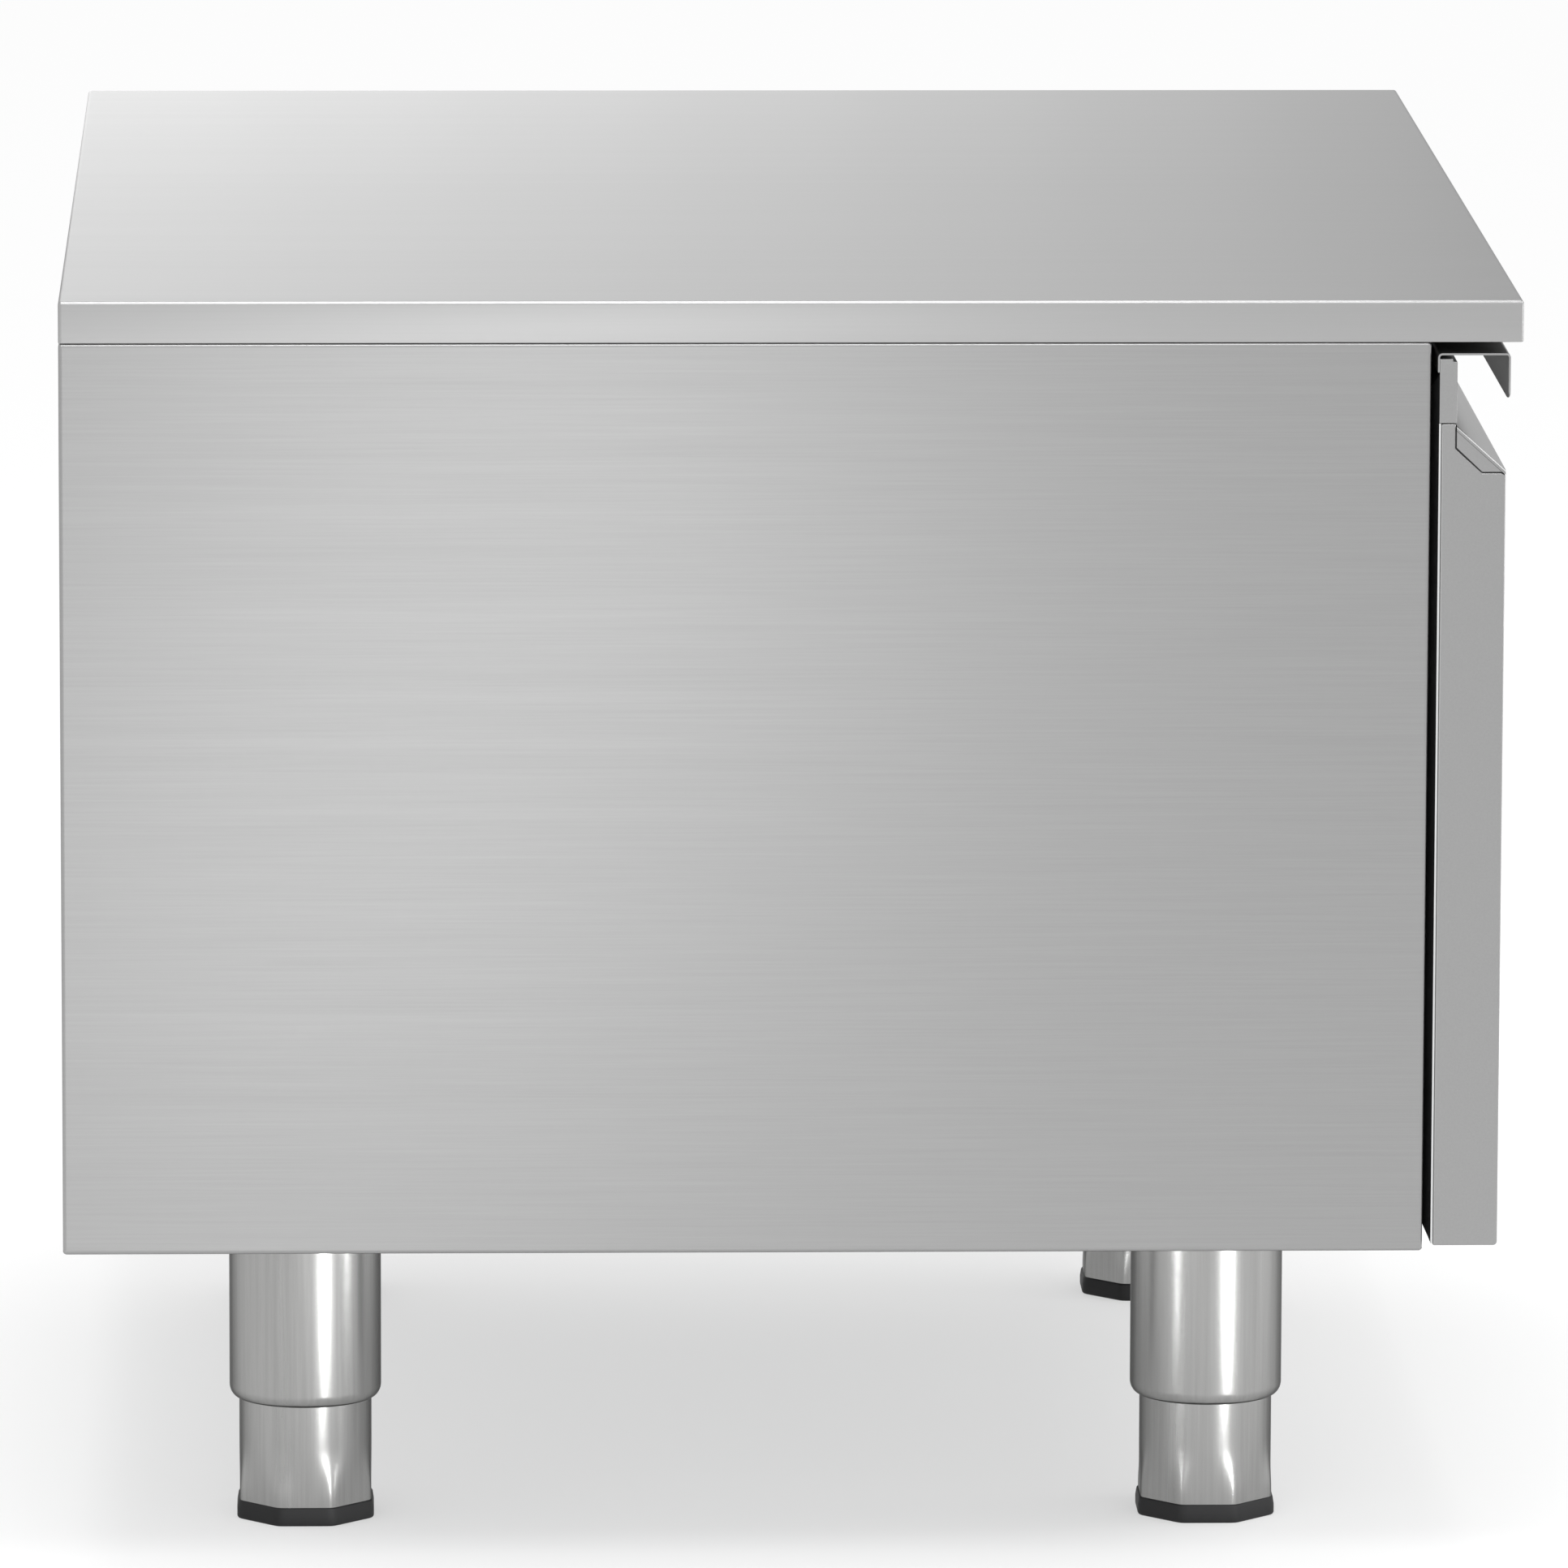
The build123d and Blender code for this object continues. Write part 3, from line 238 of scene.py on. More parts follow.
materials = {}
for finishName, (steel, stretch) in steelFinishes.items():
    materials[finishName] = brushedSteel(finishName, steel, stretch)
for finishName, grainSettings in grainyFinishes.items():
    materials[finishName] = grainyMaterial(finishName, grainSettings)
print("materials made:", len(materials))

# CAD nodes that keep their own shape, by finish
keptFinishes = {
    "brushedAlongWidth": ["front_frame", "front_grille", "evaporator_cover"],
    "linerSheet": ["inner_liner", "door_inner_panel", "shelf_pilasters"],
    "galvanisedSheet": ["rear_panel", "base_panel", "divider_panel", "condenser_shroud",
                        "evaporator_fan_motor", "condensate_pan"],
    "zincPlate": ["shelf_clips", "hinge_brackets", "leg_bolts", "panel_screws"],
    "chromeWire": ["wire_shelf"],
    "millAluminium": ["evaporator_coil", "condenser_coil", "drip_tray", "condenser_fan_blade"],
    "bareCopper": ["filter_drier", "discharge_pipe", "capillary_tube", "suction_pipe"],
    "urethaneFoam": ["cabinet_foam"],
    # painted shade: the core is near-black for the shade under the worktop
    "paintedShadeBoard": ["worktop_core"],
    "mouldedRubber": ["compressor_mounts"],
    "gasketVinyl": ["door_gasket"],
    "blackPolymer": ["evaporator_fan_blade", "relay_box", "controller_body", "power_inlet",
                     "door_hinge_blocks"],
    "greyPolymer": ["drain_tube"],
    "whiteNylon": ["door_bushings"],
    "buttonPolymer": ["button_set", "button_down", "button_up"],
    "smokedWindow": ["controller_display"],
    "blackEnamel": ["compressor_shell", "condenser_fan_motor"],
}


def paintKept():
    for finish, names in keptFinishes.items():
        for name in names:
            data = nodes[name].data
            data.materials.clear()
            data.materials.append(materials[finish])


paintKept()
print("kept CAD nodes painted")


def makePiece(name, shell, finish, body, replaced=None, bevel=0.0):
    # shell is (points, faces); every piece is smooth apart from its creases
    points, faces = shell
    mesh = bpy.data.meshes.new(name)
    mesh.from_pydata(np.asarray(points).tolist(), [], faces)
    mesh.validate()
    mesh.materials.append(materials[finish])
    mesh.polygons.foreach_set("use_smooth", np.ones(len(mesh.polygons), bool))
    mesh.set_sharp_from_angle(angle=sharpAngle)
    mesh.update()
    piece = bpy.data.objects.new(name, mesh)
    bpy.context.scene.collection.objects.link(piece)
    if bevel:
        edge = piece.modifiers.new("edge", "BEVEL")
        edge.width = bevel
        edge.segments = 3
        edge.limit_method = "ANGLE"
        edge.angle_limit = sharpAngle
        edge.harden_normals = True
    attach(piece, body)
    if replaced:
        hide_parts(replaced)


def gridFaces(rows, columns, closed=False):
    # Quads between neighbouring rows. Each row closes on itself, and closed joins the last
    # row to the first.
    r, c = np.meshgrid(np.arange(rows if closed else rows - 1), np.arange(columns), indexing="ij")
    nextRow = (r + 1) % rows
    nextColumn = (c + 1) % columns
    quads = np.stack([r * columns + c, r * columns + nextColumn,
                      nextRow * columns + nextColumn, nextRow * columns + c], axis=-1)
    return quads.reshape(-1, 4).tolist()


def outwards(points, faces):
    # The same faces, turned if the shell's volume is negative. Six times that volume is the
    # sum of a . (b x c) over the triangles that fan out from each face's first point.
    fans = np.array([(f[0], b, c) for f in faces for b, c in zip(f[1:], f[2:])])
    a, b, c = np.moveaxis(points[fans], 1, 0)
    volume = np.einsum("ij,ij->", a, np.cross(b, c))
    return faces if volume > 0 else [f[::-1] for f in faces]


def closedShell(points, rows):
    # A stack of equal rows with a face over each end.
    count = len(points) // rows
    ends = [list(range(count))[::-1], list(range(len(points) - count, len(points)))]
    return points, outwards(points, gridFaces(rows, count) + ends)


def roundedOutline(halfWidth, halfHeight, radius):
    # Angle runs round the outline; each corner is a quarter circle about its own centre.
    angles = np.linspace(0, quarter, 7)
    parts = []
    for i, (sx, sy) in enumerate([(1, 1), (-1, 1), (-1, -1), (1, -1)]):
        turn = angles + i * quarter
        centre = np.array([sx * (halfWidth - radius), sy * (halfHeight - radius)])
        parts.append(centre + radius * np.stack([np.cos(turn), np.sin(turn)], axis=1))
    return np.concatenate(parts)


def shellRings(halfWidth, halfHeight, radius, section):
    # A section of (inset, depth) pairs carried round a rounded rectangle.
    rows = []
    for inset, deep in section:
        corner = max(radius - inset, 0.02 * mm)
        ring = roundedOutline(halfWidth - inset, halfHeight - inset, corner)
        rows.append(np.column_stack([ring, np.full(len(ring), deep)]))
    return np.concatenate(rows), len(rows)


def endStations(x0, x1, reach, rise):
    # Places along X, closer near the ends, and how far an edge has moved at each of them:
    # a quarter of an ellipse that is reach long and rise high.
    ease = reach * (1 - np.cos(np.linspace(0, quarter, 9)))
    stations = np.concatenate([x0 + ease, x1 - ease[::-1]])
    near = np.minimum(np.minimum(stations - x0, x1 - stations), reach) / reach
    return stations, rise * (1 - np.sqrt(np.maximum(1 - (1 - near) ** 2, 0)))


def shapedRun(outline, stations, lift, moved):
    # A closed outline of (y, z) points at each station along X, with flat ends. Its marked
    # points are raised by that station's lift.
    outline = np.asarray(outline, float)
    grid = np.zeros((len(stations), len(outline), 3))
    grid[:, :, 0] = np.asarray(stations)[:, None]
    grid[:, :, 1] = outline[None, :, 0]
    grid[:, :, 2] = outline[None, :, 1] + np.outer(lift, moved)
    return closedShell(grid.reshape(-1, 3), len(stations))


def profileRun(outline, x0, x1):
    # The same outline all the way along.
    return shapedRun(outline, (x0, x1), (0, 0), np.zeros(len(outline)))


# Worktop: a pan of sheet steel with a rounded rim. The flat faces are drawn from a ring that
# is inset from the edge, and one support ring keeps their shading flat up to the bend.
worktop = {"bend": 2.0 * mm, "sheet": 1.2 * mm, "bottomBend": 0.6 * mm, "faceInset": 80 * mm,
           "support": 0.3 * mm}


def makeWorktop():
    low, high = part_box("worktop_skin")
    centre = (low + high) / 2
    half = (high - low) / 2
    bend = worktop["bend"]
    sheet = worktop["sheet"]
    foot = worktop["bottomBend"]
    inset = worktop["faceInset"]
    section = [(inset, high.z), (bend + worktop["support"], high.z)]
    t = np.linspace(0, quarter, 9)
    section += list(zip(bend * (1 - np.sin(t)), high.z - bend * (1 - np.cos(t))))
    t = np.linspace(0, quarter, 4)
    section += list(zip(foot * (1 - np.cos(t)), low.z + foot * (1 - np.sin(t))))
    section += [(sheet, low.z), (sheet, high.z - sheet), (inset, high.z - sheet)]
    points, rows = shellRings(half.x, half.y, bend, section)
    points[:, :2] += [centre.x, centre.y]
    makePiece("worktopPan", closedShell(points, rows), "polishedTop", "cabinet",
              "worktop_skin")


# Side panels: flat sheet with a bend along three edges
sidePanel = {"bend": 2.0 * mm, "sheet": 1.0 * mm, "flange": 35 * mm, "faceInset": 80 * mm,
             "support": 0.3 * mm}


def makeSide(nodeName, pieceName, sign):
    low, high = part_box(nodeName)
    centre = (low + high) / 2
    half = (high - low) / 2
    bend = sidePanel["bend"]
    sheet = sidePanel["sheet"]
    flange = sidePanel["flange"]
    inset = sidePanel["faceInset"]
    t = np.linspace(0, quarter, 9)
    section = [(inset, 0.0), (bend + sidePanel["support"], 0.0)]
    section += list(zip(bend * (1 - np.sin(t)), bend * (1 - np.cos(t))))
    section += [(0.0, flange), (sheet, flange)]
    inner = bend - sheet
    section += list(zip(sheet + inner * (1 - np.cos(t)), sheet + inner * (1 - np.sin(t))))
    section += [(inset, sheet)]
    points, rows = shellRings(half.y, half.z, bend, section)
    depth = points[:, 2].copy()
    # the lower edge has no flange, so depth stops at the sheet's own thickness there
    under = points[:, 1] < -half.z + bend
    depth[under] = np.minimum(depth[under], sheet)
    outer = low.x if sign < 0 else high.x
    placed = np.column_stack([outer - sign * depth, centre.y + points[:, 0],
                              centre.z + points[:, 1]])
    makePiece(pieceName, closedShell(placed, rows), "brushedAlongDepth", "cabinet",
              nodeName)


makeWorktop()
makeSide("left_side_panel", "leftSide", -1)
makeSide("right_side_panel", "rightSide", 1)
print("worktop and side panels made")


# Door: folded pieces, each an outline run along the width
door = {
    "fold": 2.0 * mm, "panEdge": 0.9 * mm, "panStep": 0.2 * mm, "backGap": 0.1 * mm,
    "foamInset": 9 * mm, "foamBack": 0.5 * mm,
    "plugWidth": 12 * mm, "plugDrop": 9 * mm, "plugFoot": 13.5 * mm, "plugGap": 0.5 * mm,
    "shadeStripInset": 0.7 * mm, "edge": 0.35 * mm,
    "slopeSkin": 2.7 * mm, "rim": 2.0 * mm,
    "hookReach": 2.2 * mm, "hookDrop": 1.4 * mm, "railLift": 0.3 * mm,
    "sheet": 1.0 * mm, "channelLeg": 15 * mm, "channelFold": 1.8 * mm, "channelEdge": 0.2 * mm,
    "lipCorner": 16 * mm, "lipRise": 4.5 * mm,
}
panLow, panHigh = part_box("door_pan")
slopeLow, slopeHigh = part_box("door_slope_rail")
railLow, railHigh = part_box("door_upper_rail")
capLow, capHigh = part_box("door_end_caps")
# the pan stops just behind the inner panel's front, so that their faces don't coincide
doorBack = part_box("door_inner_panel")[0].y - door["backGap"]


def plugOutline(gap):
    # An end plug's outline, or the same grown by the gap at its back and below.
    back = railLow.y + gap
    below = capLow.z - gap
    return [(back, capHigh.z), (back, capHigh.z - door["plugDrop"] - gap),
            (railLow.y - door["plugFoot"], below), (capLow.y, below)]


def makePan():
    # the pan's side outline, with a round lower front corner and a notch for the plugs
    fold = door["fold"]
    step = door["panStep"]
    t = np.linspace(0, quarter, 6)
    corner = np.column_stack([panLow.y + fold * (1 - np.sin(t)), panLow.z + fold * (1 - np.cos(t))])
    top, back, foot, front = plugOutline(door["plugGap"])
    outline = [(doorBack, panLow.z)] + corner.tolist()
    outline += [(panLow.y, slopeLow.z - step), (front[0] + step, front[1]), foot, back,
                (top[0], panHigh.z), (doorBack, panHigh.z)]
    makePiece("doorPan", profileRun(outline, panLow.x, panHigh.x), "brushedAlongWidth", "door",
              "door_pan", door["panEdge"])


def makeDoorFoam():
    # the foam stops short of the skins, so that the seams look dark
    low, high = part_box("door_foam")
    inset = door["foamInset"]
    back = doorBack - door["foamBack"]
    outline = [(low.y, low.z), (back, low.z), (back, high.z - inset),
               (railLow.y + inset, high.z - inset), (railLow.y + inset, capLow.z - inset),
               (low.y, capLow.z - inset)]
    makePiece("doorFoam", profileRun(outline, low.x + inset, high.x - inset), "urethaneFoam",
              "door", "door_foam")


def makeEndPlugs():
    # end plugs under the slope, each over a black strip of painted shade that fills the gap round it
    inset = door["shadeStripInset"]
    for name, x0, x1 in (("endCapLeft", capLow.x, capLow.x + door["plugWidth"]),
                         ("endCapRight", capHigh.x - door["plugWidth"], capHigh.x)):
        # painted shade: a black strip in the gap round the plug, where the seam would only be in shade
        shadeStrip = profileRun(plugOutline(door["plugGap"]), x0 + inset, x1 - inset)
        makePiece(name + "Seam", shadeStrip, "gasketVinyl", "door")
        makePiece(name, profileRun(plugOutline(0.0), x0, x1), "brushedAlongWidth", "door",
                  "door_end_caps", door["edge"])


def makeRails():
    # sloping rail, its front and top edges eased down at each end
    skin = door["slopeSkin"]
    slope = [(railLow.y, slopeHigh.z), (railLow.y, slopeHigh.z - skin), (panLow.y, slopeLow.z),
             (panLow.y, slopeLow.z + skin)]
    stations, drop = endStations(slopeLow.x, slopeHigh.x, door["rim"], -door["rim"])
    makePiece("slopeRail", shapedRun(slope, stations, drop, [1, 0, 0, 1]), "brushedAlongWidth",
              "door", "door_slope_rail")

    # upper rail with a small hook along its top
    foot = railLow.z + door["railLift"]
    hookBack = railLow.y + door["hookReach"]
    hookLow = railHigh.z - door["hookDrop"]
    hook = [(railHigh.y, foot), (railHigh.y, railHigh.z), (hookBack, railHigh.z),
            (hookBack, hookLow), (railLow.y, hookLow), (railLow.y, foot)]
    makePiece("upperRail", profileRun(hook, railLow.x, railHigh.x), "brushedAlongWidth", "door",
              "door_upper_rail", door["edge"])


def makeHandleChannel():
    # leg, flange and lip of one folded sheet, followed at half its thickness
    low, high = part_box("door_handle_channel")
    half = door["sheet"] / 2
    radius = door["channelFold"]
    rear = high.y - half
    fore = low.y + half
    top = high.z - half
    t = np.linspace(0, quarter, 6)
    shorter = radius * (1 - np.cos(t))
    longer = radius * (1 - np.sin(t))
    spine = np.concatenate([[(rear, low.z + door["channelLeg"])],
                            np.column_stack([rear - shorter, top - longer]),
                            np.column_stack([fore + longer, top - shorter]),
                            [(fore, low.z + half)]])
    step = np.gradient(spine, axis=0)
    step /= np.linalg.norm(step, axis=1)[:, None]
    normal = np.column_stack([-step[:, 1], step[:, 0]])
    # the tip is a half circle about the spine's last point
    turn = np.linspace(0, math.pi, 7)
    tip = spine[-1] + half * (np.outer(np.cos(turn), normal[-1]) + np.outer(np.sin(turn), step[-1]))
    outline = np.concatenate([(spine + half * normal)[:-1], tip, (spine - half * normal)[-2::-1]])
    # the lip's lower corners: its edge rises by a quarter of an ellipse near each end
    stations, rise = endStations(low.x, high.x, door["lipCorner"], door["lipRise"])
    isTip = (outline[:, 0] < low.y + 2 * mm) & (outline[:, 1] < low.z + 5 * mm)
    makePiece("handleChannel", shapedRun(outline, stations, rise, isTip), "brushedAlongWidth",
              "door", "door_handle_channel", door["channelEdge"])


makePan()
makeDoorFoam()
makeEndPlugs()
makeRails()
makeHandleChannel()
print("door made")


# Legs: a fixed sleeve with a rolled-in mouth, and a tube with a rubber cap that screws in it.
# Each tube is round above blendTop and octagonal below blendLow. A sleeve's mouth narrows by
# lip over a height of roll, and its bore begins sleeveBore above the roll.
leg = {
    "places": ("front_left", "front_right", "rear_left", "rear_right"),
    "sides": 128, "power": 50, "blendTop": 42 * mm, "blendLow": 13 * mm, "flatInset": 0.2 * mm,
    "lip": 4.6 * mm, "roll": 6.5 * mm, "mouthRing": 0.3 * mm, "wall": 1.5 * mm,
    "clear": 0.6 * mm, "topGap": 0.2 * mm, "topRing": 0.6 * mm, "sleeveBore": 2 * mm,
    "hidden": 20 * mm,
    "capEdge": 1.4 * mm, "capTaper": 0.5 * mm, "capDimple": 0.1 * mm,
}


def turnedPoints(radii, heights, shape=None):
    # Radius and height along the profile, turned about a vertical axis.
    angle = np.linspace(0, 2 * math.pi, leg["sides"], endpoint=False)
    radius = np.repeat(np.asarray(radii)[:, None], len(angle), axis=1)
    height = np.repeat(np.asarray(heights)[:, None], len(angle), axis=1)
    if shape is not None:
        radius = shape(radius, angle[None, :], height)
    points = np.stack([radius * np.cos(angle), radius * np.sin(angle), height], axis=-1)
    return points.reshape(-1, 3)


def octagonRadius(flat, angle):
    # Eight flats facing the axes: the flat distance over a high-power mean of the cosines
    # to the eight directions, which rounds the corners by under half a millimetre.
    total = 0.0
    for side in range(8):
        total = total + np.maximum(np.cos(angle - side * math.pi / 4), 0) ** leg["power"]
    return flat / total ** (1 / leg["power"])


def sleeveShell(outer, mouth, top):
    t = np.linspace(0, quarter, 10)[1:]
    lipIn = outer + leg["clear"]
    sleeve = lipIn + leg["lip"]
    bore = sleeve - leg["wall"]
    rollTop = mouth + leg["roll"]
    end = top - leg["topGap"]
    radii = np.concatenate([[lipIn, lipIn + leg["mouthRing"]], lipIn + leg["lip"] * np.sin(t),
                            [sleeve, sleeve, bore, bore]])
    heights = np.concatenate([[mouth, mouth], mouth + leg["roll"] * (1 - np.cos(t)),
                              [top - leg["topRing"], end, end, rollTop + leg["sleeveBore"]]])
    points = turnedPoints(radii, heights)
    return points, outwards(points, gridFaces(len(radii), leg["sides"], closed=True))


def tubeShell(outer, foot, mouth):
    blendTop = leg["blendTop"]

    def easeToOctagon(radius, angle, height):
        # w runs smoothly from 0 at blendTop to 1 at blendLow
        w = np.clip((blendTop - height) / (blendTop - leg["blendLow"]), 0, 1)
        w = w * w * (3 - 2 * w)
        return radius * (1 - w) + octagonRadius(radius / outer * (outer - leg["flatInset"]), angle) * w

    heights = np.concatenate([np.linspace(foot, blendTop, 24),
                              np.linspace(blendTop + 2 * mm, mouth + leg["hidden"], 6)])
    return closedShell(turnedPoints(np.full(len(heights), outer), heights, easeToOctagon), len(heights))


def capShell(half, top):
    # flat underneath out to half the radius, then round edges below and above a tapered side
    edge = leg["capEdge"]
    taper = leg["capTaper"]
    t = np.linspace(0, quarter, 5)
    radii = np.concatenate([[half * 0.5], half - edge * (1 - np.sin(t)), [half, half - taper],
                            half - taper - edge * (1 - np.cos(t)) * 0.5])
    heights = np.concatenate([[0.0], edge * (1 - np.cos(t)), [top * 0.55, top - edge],
                              top - edge * (1 - np.sin(t)) * 0.99 - leg["capDimple"]])
    points = turnedPoints(radii, heights, lambda radius, angle, height: octagonRadius(radius, angle))
    return closedShell(points, len(radii))


def makeLegs():
    sleeveLow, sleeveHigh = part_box("leg_sleeves")
    mouth = sleeveLow.z
    allPoints = []
    allFaces = []
    for place in leg["places"]:
        low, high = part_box("lower_leg_" + place)
        capLow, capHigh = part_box("foot_cap_" + place)
        axis = [(low.x + high.x) / 2, (low.y + high.y) / 2, 0.0]
        outer = (high.x - low.x) / 2
        points, faces = sleeveShell(outer, mouth, sleeveHigh.z)
        allFaces += (np.array(faces) + len(points) * len(allPoints)).tolist()
        allPoints.append(points + axis)
        points, faces = tubeShell(outer, capHigh.z, mouth)
        makePiece("lowerLeg_" + place, (points + axis, faces), "turnedTube", "leg_" + place,
                  "lower_leg_" + place)
        points, faces = capShell((capHigh.x - capLow.x) / 2, capHigh.z)
        makePiece("footCap_" + place, (points + axis, faces), "mouldedRubber", "leg_" + place,
                  "foot_cap_" + place)
    makePiece("legSleeves", (np.concatenate(allPoints), allFaces), "turnedTube", "cabinet",
              "leg_sleeves")


makeLegs()
print("legs made")


# Display digits: seven plain bars each, a generic reading
digits = {"height": 11 * mm, "width": 6 * mm, "bar": 1.2 * mm, "pitch": 9 * mm, "proud": 0.06 * mm,
          "bars": {"3": "abgcd", "8": "abcdefg"}, "reading": "38", "colour": "#FF4A36"}


def litSegments():
    # Light-emitting bars behind a diffuser: an even red, a few per cent brighter in places.
    material, tree = newMaterial("litSegments")
    place = addNode(tree, "ShaderNodeTexCoord")
    mottle = addNode(tree, "ShaderNodeTexNoise", None, {"Vector": (place, "Object"), "Scale": 900.0})
    level = addNode(tree, "ShaderNodeMapRange", None,
                    {"Value": (mottle, 0), "To Min": 0.85, "To Max": 1.05})
    glow = addNode(tree, "ShaderNodeEmission", None,
                   {"Color": toLinear(digits["colour"]), "Strength": (level, 0)})
    finishMaterial(tree, glow)
    return material


def makeDigits():
    materials["litSegments"] = litSegments()
    low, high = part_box("controller_display")
    bar = digits["bar"]
    side = digits["width"] / 2 - bar / 2
    end = digits["height"] / 2 - bar / 2
    upper = digits["height"] / 4
    # each bar's centre, and its half size across and up
    across = (digits["width"] / 2 - bar, bar / 2)
    upright = (bar / 2, upper - bar * 0.6)
    bars = {"a": ((0, end), across), "g": ((0, 0), across), "d": ((0, -end), across),
            "b": ((side, upper), upright), "c": ((side, -upper), upright),
            "f": ((-side, upper), upright), "e": ((-side, -upper), upright)}
    quads = [(0, 1, 2, 3), (7, 6, 5, 4), (0, 4, 5, 1), (1, 5, 6, 2), (2, 6, 7, 3), (3, 7, 4, 0)]
    points = []
    faces = []
    middle = (low + high) / 2
    for i, figure in enumerate(digits["reading"]):
        x = middle.x + digits["pitch"] * (i - (len(digits["reading"]) - 1) / 2)
        for key in digits["bars"][figure]:
            (cx, cz), (hx, hz) = bars[key]
            left, right = x + cx - hx, x + cx + hx
            under, over = middle.z + cz - hz, middle.z + cz + hz
            faces += [[len(points) + k for k in q] for q in quads]
            for y in (low.y - digits["proud"], low.y):
                points += [(left, y, under), (right, y, under), (right, y, over), (left, y, over)]
    makePiece("displayDigits", (points, faces), "litSegments", "cabinet")


makeDigits()
print("digits made")


# Stage: a pale floor that runs into a white surround
studio = {"floor": "#F8F8F8", "whiteShare": 0.5, "floorHalf": 40.0, "skyStrength": 1.0}


def seenAsBackground(tree):
    # 1 for the camera, and for reflections and clear materials, so that metal shows it too
    path = addNode(tree, "ShaderNodeLightPath")
    either = addNode(tree, "ShaderNodeMath", {"operation": "MAXIMUM"},
                     {0: (path, "Is Camera Ray"), 1: (path, "Is Glossy Ray")})
    return addNode(tree, "ShaderNodeMath", {"operation": "MAXIMUM"},
                   {0: (either, 0), 1: (path, "Is Transmission Ray")})


def makeFloor():
    # matt paper that takes the shadow, lifted towards white by its own light
    size = studio["floorHalf"]
    mesh = bpy.data.meshes.new("floor")
    mesh.from_pydata([(-size, -size, 0), (size, -size, 0), (size, size, 0), (-size, size, 0)], [],
                     [(0, 1, 2, 3)])
    material, tree = newMaterial("paleFloor")
    matt = addNode(tree, "ShaderNodeBsdfDiffuse", None, {"Color": toLinear(studio["floor"])})
    lit = addNode(tree, "ShaderNodeEmission", None, {"Strength": 1.0})
    share = addNode(tree, "ShaderNodeMath", {"operation": "MULTIPLY"},
                    {0: (seenAsBackground(tree), 0), 1: studio["whiteShare"]})
    both = addNode(tree, "ShaderNodeMixShader", None, {0: (share, 0), 1: (matt, 0), 2: (lit, 0)})
    finishMaterial(tree, both)
    mesh.materials.append(material)
    floor = bpy.data.objects.new("floor", mesh)
    bpy.context.scene.collection.objects.link(floor)


def makeWorld():
    world = bpy.data.worlds.new("studio")
    bpy.context.scene.world = world
    world.use_nodes = True
    tree = world.node_tree
    tree.nodes.clear()
    white = (1.0, 1.0, 1.0, 1.0)
    sky = addNode(tree, "ShaderNodeBackground", None,
                  {"Color": white, "Strength": studio["skyStrength"]})
    addNode(tree, "ShaderNodeOutputWorld", None, {"Surface": (sky, 0)})


# Each lamp's place, the point it faces, its width, height and brightness. Brightness is what
# a reflection of the lamp shows, where the white sky is 1.
lamps = {
    "sideUpper": ((-1.5, 0.14, 0.48), (0, 0.14, 0.48), 0.36, 0.45, 1.8),
    "sideLower": ((-1.5, 0.29, 0.14), (0, 0.29, 0.14), 0.36, 0.24, 1.6),
    "overhead": ((0.0, 0.1, 2.8), (0, 0.1, 0), 1.4, 1.4, 3.2),
    "sideHigh": ((-1.5, 0.1, 2.3), (-0.4, 0.1, 0.6), 1.6, 0.6, 5.0),
    "frontEdge": ((-0.1, -2.2, 0.45), (-0.3, -0.3, 0.4), 0.6, 0.9, 4.0),
    "frontHigh": ((-0.6, -2.0, 2.0), (-0.3, -0.35, 0.6), 1.2, 0.8, 4.0),
}
legStreak = {"places": ("front_left", "rear_left"), "left": 0.31, "forward": 0.165, "level": 0.16,
             "width": 0.035, "height": 0.3, "brightness": 32.0}
topRow = {"count": 9, "step": 0.13, "x": 1.35, "rearY": 0.62, "level": 1.0, "height": 0.75,
          "rear": 3.7, "front": 0.62}


def addLight(name, place, target, width, height, brightness):
    data = bpy.data.lights.new(name, "AREA")
    data.shape = "RECTANGLE"
    data.size = width
    data.size_y = height
    data.energy = math.pi * width * height * brightness
    light = bpy.data.objects.new(name, data)
    light.location = place
    light.visible_camera = False
    light.rotation_euler = (Vector(target) - Vector(place)).to_track_quat("-Z", "Y").to_euler()
    bpy.context.scene.collection.objects.link(light)
    return light


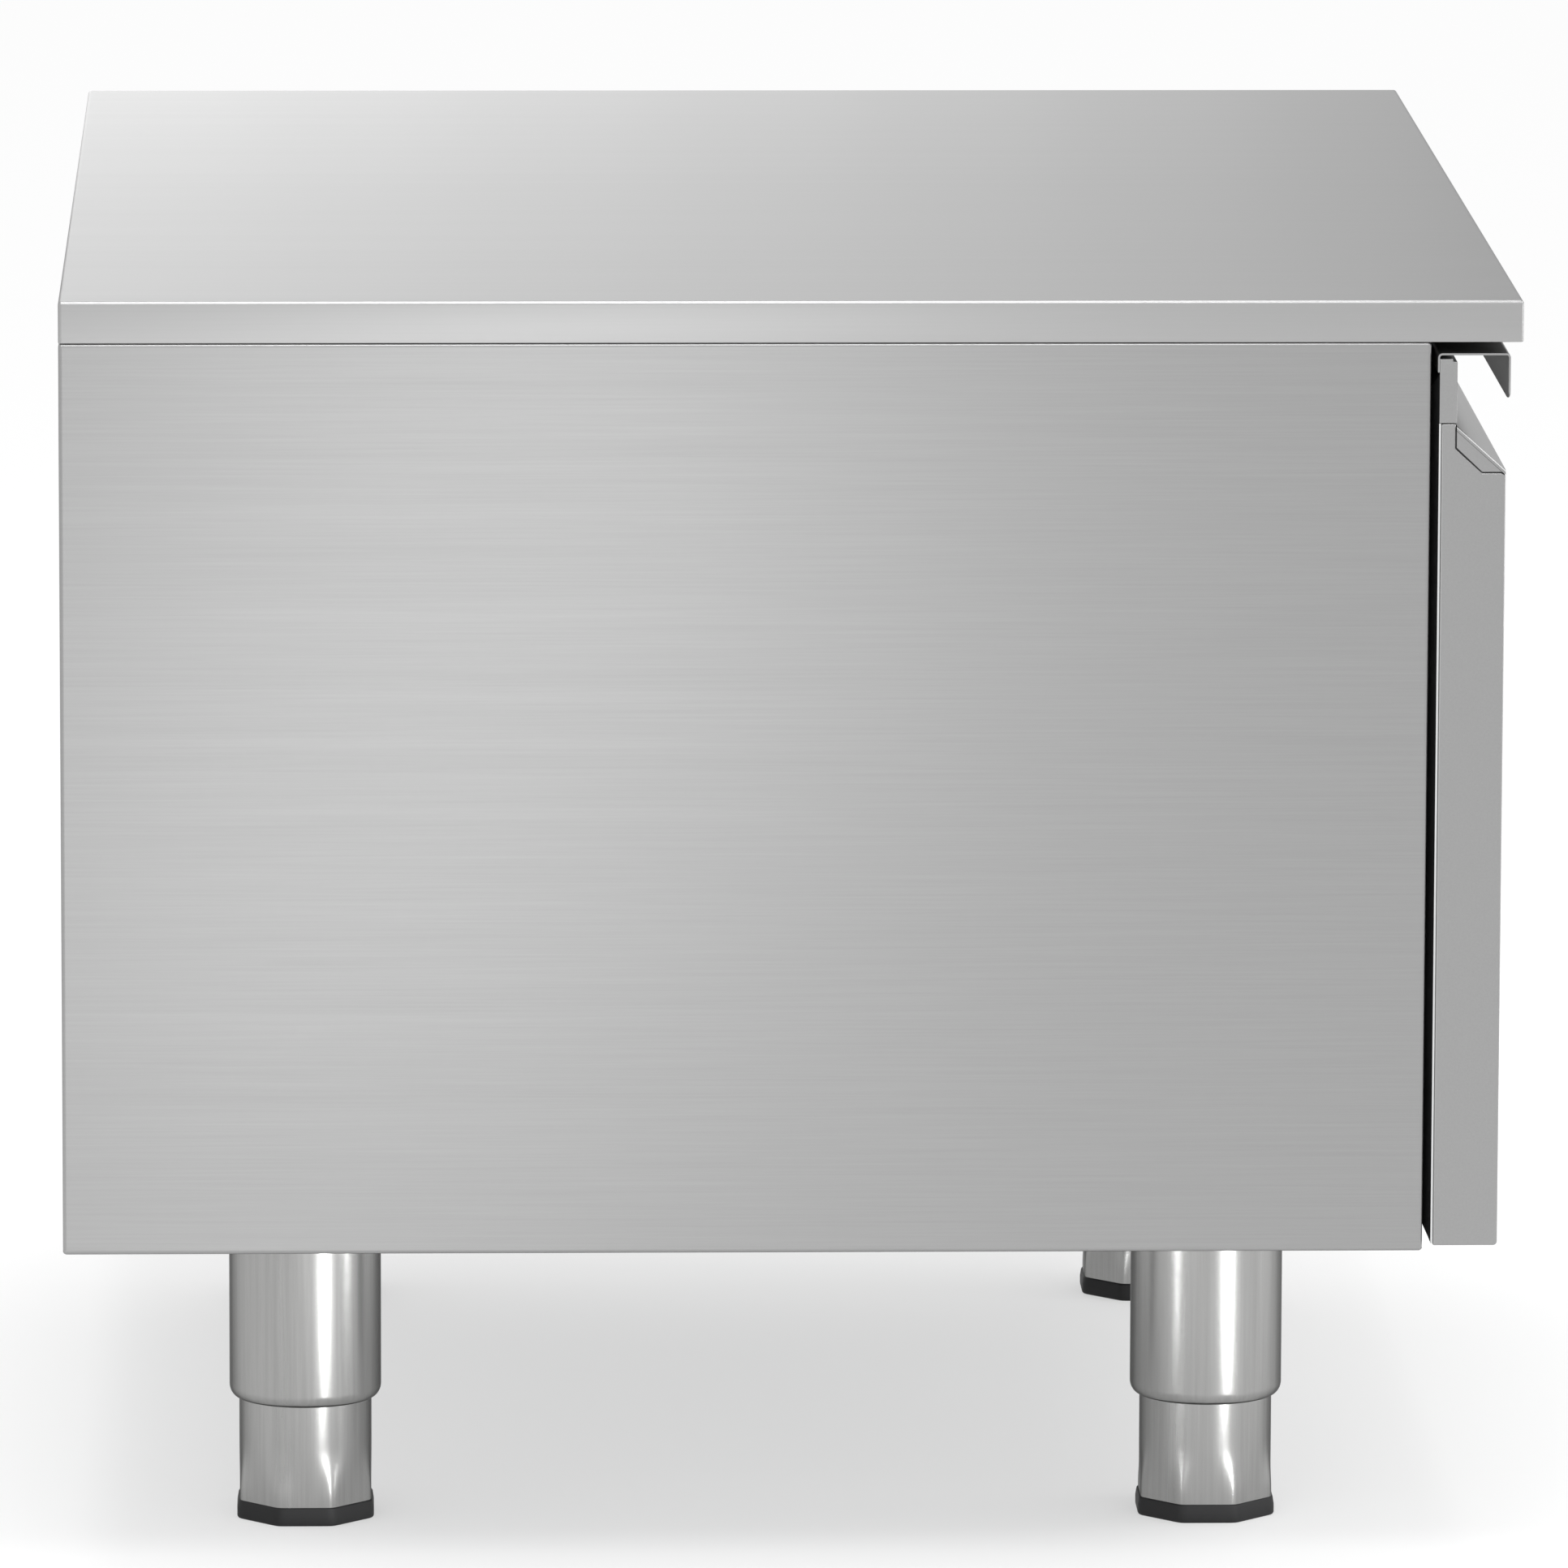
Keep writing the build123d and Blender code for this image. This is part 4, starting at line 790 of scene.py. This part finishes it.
def makeLights():
    for name, lamp in lamps.items():
        addLight(name, *lamp)
    # a narrow lamp standing on the floor near each of these legs gives the tubes their streak,
    # and lights the leg pieces only
    legPieces = bpy.data.collections.new("legPieces")
    for piece in bpy.context.scene.collection.all_objects:
        if piece.name.startswith(("lowerLeg_", "footCap_", "legSleeves")):
            legPieces.objects.link(piece)
    level = legStreak["level"]
    for place in legStreak["places"]:
        low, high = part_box("lower_leg_" + place)
        centre = (low + high) / 2
        spot = (centre.x - legStreak["left"], centre.y - legStreak["forward"], level)
        streak = addLight("legStreak_" + place, spot, (centre.x, centre.y, level),
                          legStreak["width"], legStreak["height"], legStreak["brightness"])
        streak.light_linking.receiver_collection = legPieces
    # a row of lamps past the far edge, brighter towards the rear, that the worktop mirrors
    for i in range(topRow["count"]):
        share = i / (topRow["count"] - 1)
        y = topRow["rearY"] - topRow["step"] * i
        addLight("topRow" + str(i), (topRow["x"], y, topRow["level"]), (0, y, topRow["level"]),
                 topRow["step"], topRow["height"],
                 topRow["rear"] + (topRow["front"] - topRow["rear"]) * share)


# The side view: a long lens, a little above the worktop. Angles are in degrees.
view = {"yaw": 1.78, "pitch": 9.66, "roll": 0.176, "place": (-7.811, 0.232, 1.677),
        "lens": 328.1, "sensor": 36.0, "farthest": 200}


def makeCamera():
    yaw, pitch, roll = (math.radians(view[key]) for key in ("yaw", "pitch", "roll"))
    forward = Vector((math.cos(yaw) * math.cos(pitch), -math.sin(yaw) * math.cos(pitch),
                      -math.sin(pitch)))
    right = Vector((-math.sin(yaw), -math.cos(yaw), 0))
    up = right.cross(forward)
    tiltedRight = right * math.cos(roll) + up * math.sin(roll)
    tiltedUp = up * math.cos(roll) - right * math.sin(roll)
    data = bpy.data.cameras.new("camera")
    data.lens = view["lens"]
    data.sensor_width = view["sensor"]
    data.clip_end = view["farthest"]
    camera = bpy.data.objects.new("camera", data)
    turn = Matrix((tiltedRight, tiltedUp, -forward)).transposed().to_4x4()
    camera.matrix_world = Matrix.Translation(view["place"]) @ turn
    bpy.context.scene.collection.objects.link(camera)
    bpy.context.scene.camera = camera


makeFloor()
makeWorld()
makeLights()
makeCamera()
bpy.context.scene.view_settings.view_transform = "Standard"
print("stage, lights and camera made")
